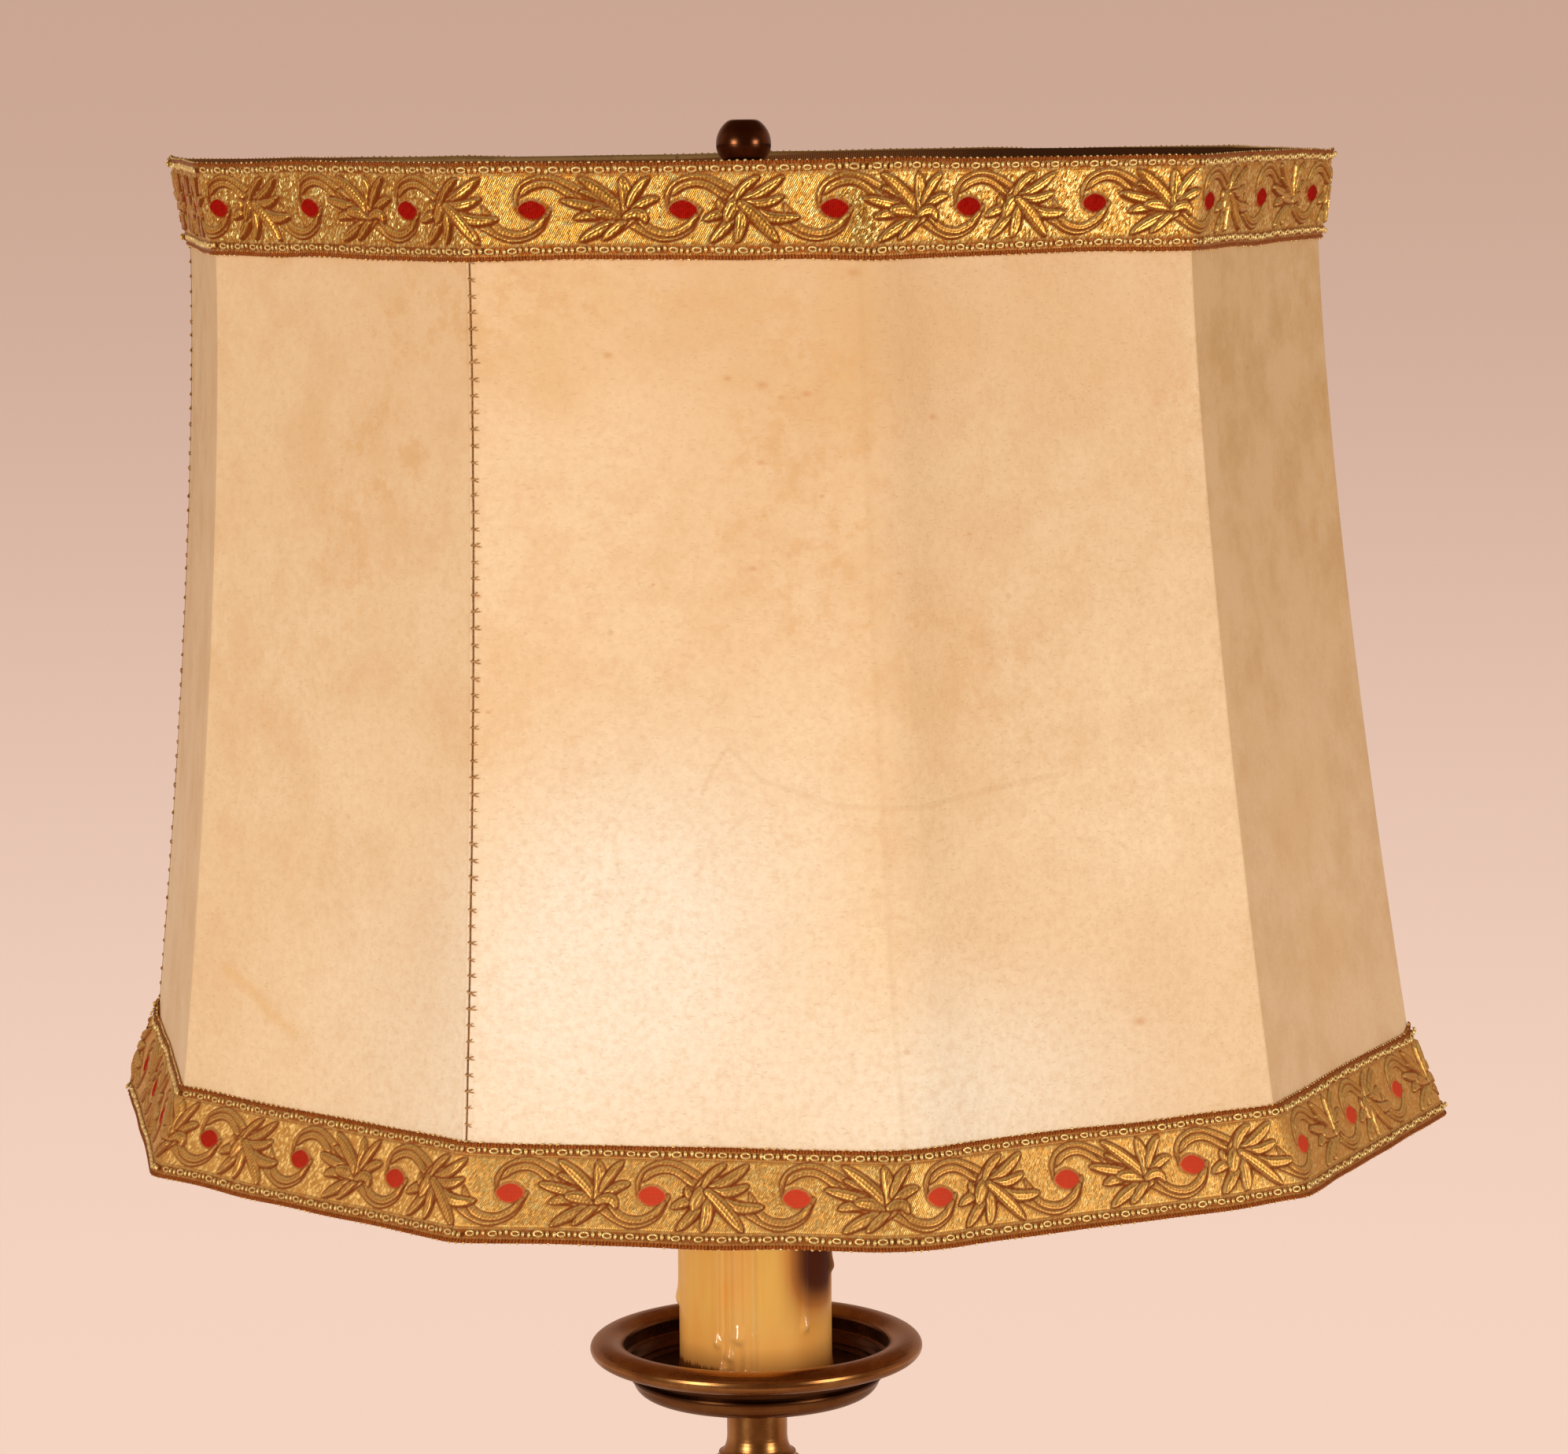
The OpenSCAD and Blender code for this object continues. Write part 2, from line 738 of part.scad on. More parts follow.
module bulb_glass(side) {
    outer = glass_outline(0);
    inner = glass_outline(glass_wall);
    color([0.95, 0.93, 0.88, 0.6])
        at_holder(side)
            rotate_extrude()
                polygon(concat(outer, [for (i = [len(inner) - 1:-1:0]) inner[i]]));
}

// The fitting that carries the shade

module carrier_rod() {
    color([0.55, 0.4, 0.2])
        translate([0, 0, chamber_top])
            cylinder(r = rod_r, h = rod_top - chamber_top);
}

module support_nut() {
    color([0.55, 0.4, 0.2])
        translate([0, 0, bush_foot - nut_h])
            difference() {
                cylinder(r = rod_r + 5, h = nut_h, $fn = 6);
                translate([0, 0, -cut])
                    cylinder(r = rod_r, h = nut_h + 2 * cut);
            }
}

bush_spigot_r = rod_r + 3.5;

module hub_bush() {
    color([0.55, 0.4, 0.2])
        difference() {
            union() {
                translate([0, 0, bush_foot])
                    cylinder(r = bush_spigot_r + 4, h = bush_flange_t);
                translate([0, 0, bush_foot])
                    cylinder(r = bush_spigot_r, h = bush_flange_t + spider_hub_t - 0.3);
            }
            translate([0, 0, bush_foot - cut])
                cylinder(r = rod_r + run_fit, h = bush_flange_t + spider_hub_t + 2 * cut);
        }
}

spider_hub_r = bush_spigot_r + 6;
spider_arms = 3;
spider_turn = 90;

// Distance from the axis to the middle of a ring's wire in one direction
function ring_reach(turn) =
    let (
        inset = skin_t + skin_gap + ring_wire_r,
        r = skin_r(top_ring_z) - inset * corner_scale,
        step = 360 / sides,
        from_corner = (turn - first_corner) - step * floor((turn - first_corner) / step)
    )
    r * cos(step / 2) / cos(from_corner - step / 2);

module spider() {
    hub_mid = spider_foot + spider_hub_t / 2;
    color([0.5, 0.38, 0.2])
        difference() {
            union() {
                translate([0, 0, spider_foot])
                    cylinder(r = spider_hub_r, h = spider_hub_t);
                for (i = [0:spider_arms - 1]) {
                    turn = spider_turn + 360 / spider_arms * i;
                    reach = ring_reach(turn);
                    inner_end = [(spider_hub_r - 2) * cos(turn), (spider_hub_r - 2) * sin(turn), hub_mid];
                    outer_end = [reach * cos(turn), reach * sin(turn), top_ring_z];
                    wire(inner_end, outer_end, ring_wire_r - 0.2);
                }
            }
            translate([0, 0, spider_foot - cut])
                cylinder(r = bush_spigot_r + run_fit, h = spider_hub_t + 2 * cut);
        }
}

module top_ring() {
    color([0.5, 0.38, 0.2])
        wire_ring(top_ring_z);
}

module bottom_ring() {
    color([0.5, 0.38, 0.2])
        wire_ring(bottom_ring_z);
}

module frame_ribs() {
    levels = concat(
        [bottom_ring_z],
        [for (i = [0:curve_steps]) hem_top + (waist_z - hem_top) * i / curve_steps],
        [top_ring_z]
    );
    inset = skin_t + skin_gap + rib_wire_r;
    color([0.5, 0.38, 0.2])
        for (k = [0:sides - 1])
            corner_wire(k, levels, inset, rib_wire_r, 6);
}

// Parchment, lacing, trims and tapes

seams = [0, 2, 6];

module skin(piece) {
    first = seams[piece];
    next = piece == len(seams) - 1 ? sides : seams[piece + 1];
    color([0.93, 0.8, 0.63])
        wall_strip(first, next - first, skin_levels, 0, skin_t);
}

module seam_lacing() {
    levels = [for (i = [0:curve_steps]) hem_top + 1 + (waist_z - hem_top - 2) * i / curve_steps];
    color([0.4, 0.26, 0.14])
        for (k = seams)
            corner_wire(k, levels, -lace_r, lace_r, 6);
}

module upper_trim() {
    color([0.8, 0.6, 0.3])
        wall_strip(0, sides, [waist_z, shade_top], -trim_t, 0);
}

module lower_trim() {
    color([0.8, 0.6, 0.3])
        wall_strip(0, sides, [shade_foot, hem_top], -trim_t, 0);
}

tape_t = 0.8;
tape_inset = skin_t + 2 * skin_gap + 2 * ring_wire_r;

module top_tape() {
    color([0.5, 0.35, 0.24])
        wall_strip(0, sides, [shade_top - tape_h, shade_top], tape_inset, tape_inset + tape_t);
}

module bottom_tape() {
    color([0.5, 0.35, 0.24])
        wall_strip(0, sides, [shade_foot, shade_foot + tape_h], tape_inset, tape_inset + tape_t);
}

// The finial

finial_washer_r = bush_spigot_r + 2.5;

// The washer reaches over the bush's spigot and onto the spider's hub
module finial_washer() {
    color([0.4, 0.28, 0.14])
        ring_disc(finial_washer_r, rod_r + run_fit, spider_top, washer_t);
}

ball_collar_r = rod_r + 1.6;
ball_collar_h = 2;

module finial_ball() {
    mid = ball_foot + ball_half_h;
    shoulder_r = (pow(ball_flat_r, 2) + pow(ball_half_h, 2) - pow(ball_r, 2)) / (2 * (ball_half_h - ball_r));
    shoulder_z = ball_half_h - shoulder_r;
    join = ball_r / norm([ball_flat_r, shoulder_z]);
    bore_h = rod_top - ball_foot + 1;
    color([0.3, 0.18, 0.1])
        translate([0, 0, mid])
            difference() {
                rotate_extrude()
                    intersection() {
                        union() {
                            intersection() {
                                circle(r = ball_r);
                                square([2 * ball_r, 2 * shoulder_z * join], center = true);
                            }
                            for (up = [-1, 1])
                                translate([ball_flat_r, up * shoulder_z])
                                    circle(r = shoulder_r);
                            square([2 * ball_flat_r, 2 * ball_half_h], center = true);
                            // Collar that stands on the washer
                            translate([0, -ball_half_h])
                                square([ball_collar_r, ball_collar_h]);
                        }
                        translate([0, -ball_r])
                            square([ball_r + cut, 2 * ball_r]);
                    }
                translate([0, 0, -ball_half_h - cut])
                    cylinder(r = rod_r + run_fit, h = bore_h + cut);
            }
}

foot();
foot_ballast();
base_plate();
felt_pad();
inlet_bush();
column();
knop();
vase();
neck();
drip_pan();
candle_seat();
candle_sleeve();
candle_cap();
tie_rod();
bottom_washer();
bottom_nut();
cluster_body();
arm(-1);  // arm_left
arm(1);  // arm_right
holder_cap(-1);  // holder_cap_left
holder_cap(1);  // holder_cap_right
holder_shell(-1);  // holder_shell_left
holder_shell(1);  // holder_shell_right
holder_core(-1);  // holder_core_left
holder_core(1);  // holder_core_right
screw_shell(-1);  // screw_shell_left
screw_shell(1);  // screw_shell_right
turn_key(-1);  // turn_key_left
turn_key(1);  // turn_key_right
bulb_cap(-1);  // bulb_cap_left
bulb_cap(1);  // bulb_cap_right
bulb_glass(-1);  // bulb_glass_left
bulb_glass(1);  // bulb_glass_right
carrier_rod();
support_nut();
hub_bush();
spider();
top_ring();
bottom_ring();
frame_ribs();
skin(0);  // skin_left
skin(1);  // skin_front
skin(2);  // skin_back
seam_lacing();
upper_trim();
lower_trim();
top_tape();
bottom_tape();
finial_washer();
finial_ball();
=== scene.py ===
import json
import math

import bpy
import numpy as np
from mathutils import Matrix, Vector


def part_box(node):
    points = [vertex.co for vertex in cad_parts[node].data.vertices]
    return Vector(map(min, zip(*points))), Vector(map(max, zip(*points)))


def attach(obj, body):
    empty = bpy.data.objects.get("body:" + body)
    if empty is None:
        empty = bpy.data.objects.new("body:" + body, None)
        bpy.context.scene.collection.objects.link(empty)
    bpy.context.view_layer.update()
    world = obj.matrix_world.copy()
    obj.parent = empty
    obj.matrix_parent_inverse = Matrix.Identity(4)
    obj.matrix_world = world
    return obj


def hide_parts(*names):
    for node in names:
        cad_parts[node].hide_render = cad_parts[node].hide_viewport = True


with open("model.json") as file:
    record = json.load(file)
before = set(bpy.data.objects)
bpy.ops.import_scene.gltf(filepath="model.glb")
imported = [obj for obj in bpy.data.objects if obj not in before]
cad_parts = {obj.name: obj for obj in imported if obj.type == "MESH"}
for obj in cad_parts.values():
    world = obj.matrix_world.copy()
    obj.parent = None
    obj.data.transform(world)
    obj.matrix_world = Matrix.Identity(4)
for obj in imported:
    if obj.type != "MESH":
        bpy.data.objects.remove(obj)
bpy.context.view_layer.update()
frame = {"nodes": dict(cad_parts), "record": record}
nodes = frame["nodes"]

MM = 0.001


# Camera, fitted to the photograph

PHOTO_WIDTH = 1993
FOCAL_PIXELS = 6247
SENSOR_WIDTH = 36
CAMERA_PLACE = (-0.0056, -1.8294, 0.8910)
CAMERA_PITCH = math.radians(90 - 7.24)
CAMERA_YAW = math.radians(-0.578)
CAMERA_ROLL = math.radians(-0.558)


def link(thing):
    bpy.context.scene.collection.objects.link(thing)
    return thing


def make_camera():
    data = bpy.data.cameras.new("camera")
    data.sensor_width = SENSOR_WIDTH
    data.lens = FOCAL_PIXELS / PHOTO_WIDTH * SENSOR_WIDTH
    camera = link(bpy.data.objects.new("camera", data))
    turn = (
        Matrix.Rotation(CAMERA_YAW, 4, "Z")
        @ Matrix.Rotation(CAMERA_PITCH, 4, "X")
        @ Matrix.Rotation(CAMERA_ROLL, 4, "Z")
    )
    camera.matrix_world = Matrix.Translation(CAMERA_PLACE) @ turn
    bpy.context.scene.camera = camera


make_camera()


# Node trees: maths on sockets, and one method that makes any node


def maths(operation, reflected=False):
    """A method of Value that adds one Math node."""

    def apply(self, other=None):
        values = [self] if other is None else [self, other]
        if reflected:
            values.reverse()
        return self.tree.node("ShaderNodeMath", {"operation": operation}, values)

    return apply


class Value:
    """A number at a node's output, on which Python's arithmetic works."""

    def __init__(self, tree, socket):
        self.tree = tree
        self.socket = socket

    __add__ = maths("ADD")
    __radd__ = maths("ADD")
    __sub__ = maths("SUBTRACT")
    __rsub__ = maths("SUBTRACT", reflected=True)
    __mul__ = maths("MULTIPLY")
    __rmul__ = maths("MULTIPLY")
    __truediv__ = maths("DIVIDE")
    above = maths("GREATER_THAN")
    at_most = maths("MINIMUM")
    at_least = maths("MAXIMUM")
    sine = maths("SINE")
    root = maths("SQRT")
    size = maths("ABSOLUTE")

    def step(self, low, high):
        """Rises smoothly from 0 where this is low to 1 where it is high."""
        settings = {"interpolation_type": "SMOOTHSTEP"}
        return self.tree.node("ShaderNodeMapRange", settings, [self, low, high, 0.0, 1.0])


class Tree:
    """A node tree that is written node by node."""

    def __init__(self, nodes_of_tree):
        self.nodes = nodes_of_tree

    def put(self, socket, value):
        if isinstance(value, Value):
            self.nodes.links.new(value.socket, socket)
        else:
            socket.default_value = value

    def node(self, kind, settings=None, inputs=(), output=0):
        """Makes a node of one kind, applies its settings, fills its inputs and gives one output."""
        made = self.nodes.nodes.new(kind)
        for name, value in (settings or {}).items():
            setattr(made, name, value)
        pairs = inputs.items() if isinstance(inputs, dict) else enumerate(inputs)
        for key, value in pairs:
            self.put(made.inputs[key], value)
        return Value(self, made.outputs[output])

    def parts(self, vector):
        made = self.node("ShaderNodeSeparateXYZ", None, [vector]).socket.node
        return [Value(self, socket) for socket in made.outputs]

    def joined(self, x, y, z=0.0):
        return self.node("ShaderNodeCombineXYZ", None, [x, y, z])

    def mix(self, factor, first, second):
        return self.node("ShaderNodeMix", {"data_type": "RGBA"}, {0: factor, 6: first, 7: second}, 2)

    def layered(self, colour, *layers):
        """Lays colours over one another, each by its own mask."""
        for mask, over in layers:
            colour = self.mix(mask, colour, over)
        return colour


def tone(red, green, blue):
    """A colour written as it looks on a screen, 0 to 255, as the shader takes it."""
    parts = [c / 255 for c in (red, green, blue)]
    return [c / 12.92 if c <= 0.04045 else ((c + 0.055) / 1.055) ** 2.4 for c in parts] + [1]


class Finish(Tree):
    """A procedural material round one Principled shader. Constants are set by socket name."""

    def __init__(self, name, **constants):
        self.material = bpy.data.materials.new(name)
        self.material.use_nodes = True
        super().__init__(self.material.node_tree)
        self.surface = self.nodes.nodes["Principled BSDF"]
        self.set(**constants)

    def set(self, **values):
        """Sets the Principled shader's sockets; base_color stands for Base Color."""
        for name, value in values.items():
            title = name.replace("_", " ").title().replace("Ior", "IOR")
            self.put(self.surface.inputs[title], value)

    def place(self):
        return self.node("ShaderNodeTexCoord", output="Object")

    def attribute(self, name, output="Fac"):
        return self.node("ShaderNodeAttribute", {"attribute_name": name}, output=output)

    def stretched(self, vector, scale):
        return self.node("ShaderNodeVectorMath", {"operation": "MULTIPLY"}, [vector, scale])

    def noise(self, vector, scale=1.0, detail=2.0, roughness=0.5):
        values = {"Vector": vector, "Scale": scale, "Detail": detail, "Roughness": roughness}
        return self.node("ShaderNodeTexNoise", None, values)

    def cells(self, vector, scale=1.0, output="Distance"):
        return self.node("ShaderNodeTexVoronoi", None, {"Vector": vector, "Scale": scale}, output)

    def bump(self, height, distance, strength=1.0, under=None):
        values = {"Height": height, "Distance": distance, "Strength": strength}
        if under is not None:
            values["Normal"] = under
        return self.node("ShaderNodeBump", None, values)


# Meshes


def new_piece(name, points, face_groups, finish, body, marks=None):
    """A mesh object from an array of points and arrays of faces, riding on a body."""
    mesh = bpy.data.meshes.new(name)
    corners = np.concatenate([np.asarray(faces).ravel() for faces in face_groups])
    sizes = np.concatenate([np.full(len(faces), len(faces[0])) for faces in face_groups])
    mesh.vertices.add(len(points))
    mesh.vertices.foreach_set("co", np.asarray(points, np.float32).ravel())
    mesh.loops.add(len(corners))
    mesh.loops.foreach_set("vertex_index", corners.astype(np.int32))
    mesh.polygons.add(len(sizes))
    mesh.polygons.foreach_set("loop_start", (np.cumsum(sizes) - sizes).astype(np.int32))
    mesh.update(calc_edges=True)
    mesh.validate()
    mesh.shade_smooth()
    for mark, values in (marks or {}).items():
        vector = values.ndim == 2
        layer = mesh.attributes.new(mark, "FLOAT_VECTOR" if vector else "FLOAT", "POINT")
        layer.data.foreach_set("vector" if vector else "value", values.astype(np.float32).ravel())
    mesh.materials.append(finish.material)
    return settle(link(bpy.data.objects.new(name, mesh)), body)


def settle(piece, body):
    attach(piece, body)
    return piece


def grid_faces(rows, columns, first=0, closed=False, inward=False):
    """Quads of a grid whose points run along columns, then up rows."""
    row = np.arange(rows - 1)[:, None]
    column = np.arange(columns if closed else columns - 1)[None, :]
    beside = (column + 1) % columns
    quad = [row * columns + column, row * columns + beside]
    quad += [(row + 1) * columns + beside, (row + 1) * columns + column]
    quads = np.stack(np.broadcast_arrays(*quad), -1).reshape(-1, 4) + first
    return quads[:, ::-1] if inward else quads


def slab(outer, inner, closed=False):
    """Points and faces of a closed shell between two grids with as many columns."""
    rows, columns = outer.shape[:2]
    back_rows = inner.shape[0]
    start = rows * columns
    points = np.concatenate([outer.reshape(-1, 3), inner.reshape(-1, 3)])
    faces = [
        grid_faces(rows, columns, 0, closed),
        grid_faces(back_rows, columns, start, closed, inward=True),
    ]
    column = np.arange(columns if closed else columns - 1)
    beside = (column + 1) % columns
    top, back_top = (rows - 1) * columns, start + (back_rows - 1) * columns
    faces.append(np.stack([start + column, start + beside, beside, column], -1))
    faces.append(np.stack([top + column, top + beside, back_top + beside, back_top + column], -1))
    if not closed:
        front, back = np.arange(rows) * columns, start + np.arange(back_rows) * columns
        faces.append(np.concatenate([back, front[::-1]])[None])
        far = columns - 1
        faces.append(np.concatenate([front + far, back[::-1] + far])[None])
    return points, faces


def smooth_line(points, steps=8):
    """A curve through a few points, as more points."""
    line = np.array(points, float)
    ends = np.concatenate([[2 * line[0] - line[1]], line, [2 * line[-1] - line[-2]]])
    t = np.linspace(0, 1, steps, endpoint=False)[:, None]
    parts = []
    for a, b, c, d in zip(ends, ends[1:], ends[2:], ends[3:]):
        square, cube = 2 * a - 5 * b + 4 * c - d, 3 * b - a - 3 * c + d
        parts.append(0.5 * (2 * b + (c - a) * t + square * t**2 + cube * t**3))
    return np.concatenate([*parts, line[-1:]])


def ease(x, low, high):
    """0 where x is under low, 1 where it is over high, smooth between."""
    t = np.clip((x - low) / (high - low), 0, 1)
    return t * t * (3 - 2 * t)


def bell(x, width):
    """1 where x is 0, falling smoothly to nearly nothing at twice the width."""
    return np.exp(-((x / width) ** 2))


def full_turn(count):
    """Angles evenly spaced round a circle."""
    return np.linspace(0, 2 * np.pi, count, endpoint=False)


RIPPLE_WAVES = 5


def ripple(x, seed, longest, amount):
    """A smooth irregular wave of x, the same each run."""
    random = np.random.default_rng(seed)
    total = np.zeros_like(x, dtype=float)
    for i in range(RIPPLE_WAVES):
        length = longest / (1 + 0.8 * i)
        total += np.sin(2 * np.pi * (x / length + random.random())) / (1 + i)
    return amount * total / 2


# The shade's wall, as the model has it

SIDES = 10
FIRST_CORNER = math.radians(171.9)
CORNER_TURN = 2 * math.pi / SIDES
CORNER_SCALE = 1 / math.cos(CORNER_TURN / 2)
SHADE_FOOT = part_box("lower_trim")[0].z
HEM_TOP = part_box("lower_trim")[1].z
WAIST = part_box("upper_trim")[0].z
SHADE_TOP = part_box("upper_trim")[1].z
HEM_R, HEM_TOP_R, WAIST_R, CROWN_R = 0.2503, 0.2379, 0.2107, 0.2157
FLARE_POWER = 1.45
RACK = 0.0086
RING_DROP = 0.004
SKIN_T = 0.0009
SEAMS = (0, 2, 6)
SOFT_CORNER = 3
SIDE = 0.142


def skin_radius(z):
    hem = HEM_R + (HEM_TOP_R - HEM_R) * (z - SHADE_FOOT) / (HEM_TOP - SHADE_FOOT)
    crown = WAIST_R + (CROWN_R - WAIST_R) * (z - WAIST) / (SHADE_TOP - WAIST)
    share = np.clip((WAIST - z) / (WAIST - HEM_TOP), 0, 1)
    flare = WAIST_R + (HEM_TOP_R - WAIST_R) * share**FLARE_POWER
    return np.where(z < HEM_TOP, hem, np.where(z > WAIST, crown, flare))


def sharp_wall(k, z, out):
    """Points of the ten-sided wall: k counts sides from the first corner, out is from the skin."""
    corner = np.floor(k)
    share = k - corner
    r = skin_radius(z) + out * CORNER_SCALE
    a, b = FIRST_CORNER + CORNER_TURN * corner, FIRST_CORNER + CORNER_TURN * (corner + 1)
    sway = RACK * (SHADE_TOP - RING_DROP - z) / (SHADE_TOP - SHADE_FOOT)
    x = r * ((1 - share) * np.cos(a) + share * np.cos(b)) + sway
    y = r * ((1 - share) * np.sin(a) + share * np.sin(b))
    return np.stack(np.broadcast_arrays(x, y, z), -1)


# How far the upper edge hangs behind on the left, at which corner, and over how many sides
SAG, SAG_CORNER, SAG_REACH = 2.2 * MM, 8.3, 1.1
# Rounding of a plain corner and of the soft one, and how much of it the wall beside bulges
ROUNDING, SOFT_ROUNDING, SOFT_REACH = 0.8 * MM, 15 * MM, 0.25
BULGE, BULGE_REACH = 0.19, 0.16
CORNER_SHARES = (-1, -0.6, -0.2, 0.2, 0.6, 1)


def wall(k, z, out, rounding=ROUNDING):
    """The wall with its corners rounded a little, and one corner rounded more."""
    rounding = rounding + (SOFT_ROUNDING - rounding) * bell(k - SOFT_CORNER, SOFT_REACH)
    # A rounded corner would sink onto its wire, so the wall beside it bulges by as much
    out = out + rounding * BULGE * bell(k - np.round(k), BULGE_REACH)
    behind = (k - SAG_CORNER + SIDES / 2) % SIDES - SIDES / 2
    z = z - SAG * bell(behind, SAG_REACH) * ease(z, HEM_TOP, SHADE_TOP)
    places = [sharp_wall(k + rounding / SIDE * share, z, out) for share in CORNER_SHARES]
    return sum(places) / len(places)


def outward(k, z):
    """The way that the wall faces."""
    step = 0.5 * MM
    along = wall(k + 0.01, z, 0.0) - wall(k - 0.01, z, 0.0)
    up = wall(k, z + step, 0.0) - wall(k, z - step, 0.0)
    normal = np.cross(along, up)
    return normal / np.linalg.norm(normal, axis=-1, keepdims=True)


# Parchment


def stain(x, z, at, size):
    """A soft round mark on the front, at a place and of a size in millimetres."""
    across = (x - at[0] * MM) / (size[0] * MM)
    up = (z - at[1] * MM) / (size[1] * MM)
    return 1 - (across * across + up * up).root().step(0.0, 1.0)


def crease(x, z, points, width):
    """A fine line on the front through points in millimetres."""
    lines = None
    for start, end in zip(points, points[1:]):
        ax, az, bx, bz = (v * MM for v in (*start, *end))
        vx, vz = bx - ax, bz - az
        from_x, from_z = x - ax, z - az
        share = ((from_x * vx + from_z * vz) / (vx * vx + vz * vz)).at_least(0.0).at_most(1.0)
        off_x, off_z = from_x - share * vx, from_z - share * vz
        distance = (off_x * off_x + off_z * off_z).root()
        lines = distance if lines is None else lines.at_most(distance)
    return 1 - lines.step(0.0, width * MM)


# Marks on the front, across and up in millimetres; areas have their half width and height too
# Areas lightened as a painted sheen of the front-left lamp
PAINTED_SHEEN_AREAS = [((-70, 572), (105, 118)), ((-30, 628), (90, 90)), ((62, 560), (110, 60))]
HONEY_AREAS = [
    ((22, 794), (26, 20)), ((-4, 800), (12, 7)), ((46, 812), (24, 60)), ((-62, 800), (22, 26)),
    ((-112, 596), (24, 70)), ((60, 826), (66, 60)), ((112, 812), (50, 50)), ((-60, 830), (60, 50)),
    ((60, 700), (30, 90)), ((196, 640), (22, 34)), ((205, 590), (20, 26)),
]
SCAR = [(-8, 679), (3, 668), (28, 660), (55, 658.5), (78, 662), (105, 665.5)]
SCAR_BRANCH = [(-8, 679), (-13, 672), (-17, 664)]
SOFT_FOLD = [(37, 838), (41, 700), (45.6, 600), (49, 547)]
STREAK = [(-185, 590), (-176, 585), (-168, 577), (-160, 573)]
# Each with its size
FRECKLES = [
    (4, 773, 1.6), (1, 738, 1.4), (176, 797, 1.5), (131, 580, 2.4), (24, 762, 1.0), (-88, 690, 1.0),
    (-6.8, 800.7, 1.5), (4.6, 798.5, 2.4), (11, 794.4, 1.3), (19.3, 795.7, 1.7), (-46.3, 808.4, 1.8),
    (35.2, 835.4, 2.4), (61.3, 787, 1.8), (73.4, 747.5, 1.1), (-32.3, 732.5, 0.9), (-90.8, 728.4, 1.3),
]


def parchment():
    f = Finish("parchment", roughness=0.5, specular_ior_level=0.35, sheen_weight=0.08)
    place = f.place()
    x, y, z = f.parts(place)
    front = 1 - y.step(-0.06, -0.02)
    middle = x.step(-0.06, 0.0) * (1 - x.step(0.045, 0.075)) * front
    upper = z.step(0.56, 0.80) * 0.5 + 0.5
    clouds = f.noise(place, 9, 3, 0.5).step(0.34, 0.66)
    blotches = f.noise(place, 38, 6, 0.68).step(0.40, 0.72)
    patches = f.noise(place, 13, 2, 0.5).step(0.48, 0.6)
    speckled = f.noise(place, 95, 6, 0.72).step(0.47, 0.62) * patches * z.step(0.60, 0.80)
    spots = (1 - f.cells(place, 46).step(0.03, 0.07)) * f.noise(place, 30).step(0.5, 0.6)
    grain = f.noise(place, 420, 4, 0.7)
    paper = f.noise(f.stretched(place, (300, 300, 380)), 1, 4, 0.65)
    pores = f.noise(f.stretched(place, (520, 520, 1500)), 1, 2, 0.5).step(0.60, 0.74)
    painted_sheen = sum(stain(x, z, at, size) * 0.75 for at, size in PAINTED_SHEEN_AREAS)
    scars = crease(x, z, SCAR, 1.5).at_least(crease(x, z, SCAR_BRANCH, 1.2)) * front
    freckles = [stain(x, z, (across, up), (size * 1.5, size)) for across, up, size in FRECKLES]
    shade_and_tone_colour = f.mix(z.step(0.58, 0.84), tone(206, 158, 104), tone(180, 132, 60))
    colour = f.layered(
        f.mix(clouds * 0.5 + blotches * upper * 0.75, tone(254, 219, 174), tone(240, 196, 145)),
        *((stain(x, z, at, size) * front * 0.42, tone(233, 180, 112)) for at, size in HONEY_AREAS),
        # Painted sheen of the front-left lamp on the lower front
        ((painted_sheen * front).at_most(0.9), tone(255, 238, 212)),
        (z.step(0.74, 0.83) * middle * 0.42, tone(222, 168, 106)),
        (speckled * 0.6, tone(226, 166, 98)),
        # Darker towards the top: painted shade
        (z.step(0.60, 0.88) * 0.5, tone(232, 186, 134)),
        (scars * 0.22, tone(222, 176, 120)),
        (crease(x, z, STREAK, 4.5) * front * 0.4, tone(236, 180, 104)),
        # Painted shade along the soft corner's fold
        (crease(x, z, SOFT_FOLD, 2.0) * front * 0.12, tone(196, 150, 98)),
        *((freckle * front * 0.6, tone(214, 146, 84)) for freckle in freckles),
        (spots * 0.35, tone(204, 150, 100)),
        # Darker, yellower sides: partly uneven tone, partly painted shade
        (f.attribute("side_shade_and_tone") * (0.7 + blotches * 0.3), shade_and_tone_colour),
        (grain.step(0.35, 0.75) * 0.3, tone(222, 174, 124)),
        (paper.step(0.46, 0.68) * 0.2, tone(224, 172, 120)),
        (pores * 0.22, tone(196, 146, 100)),
    )
    f.set(base_color=colour, roughness=0.46 + grain * 0.16)
    rough = f.bump(grain + pores * 0.4, 0.00022, 0.5)
    f.set(normal=f.bump(scars * 0.5 + blotches * 0.6, 0.0006, 0.6, rough))
    return f


# How much each side is darkened and yellowed, from the first corner on: partly uneven tone, partly
# painted shade on the sides turned away from the lamps
SIDE_SHADE_AND_TONE = (0.42, 0.1, 0.0, 0.04, 0.68, 0.4, 0.25, 0.35, 0.2, 0.3)
NEAR_CORNER = np.array([0.25, 0.5, 0.8, 1.1, 1.5, 2, 2.8, 4, 6]) * MM
PLAIN_STEP = 5 * MM
SKIN_ROWS = 84
# How far the fine rows reach under the trims, and how far the skin ends short of the edges
UNDER_TRIM, SKIN_SHORT = 4 * MM, 0.5 * MM


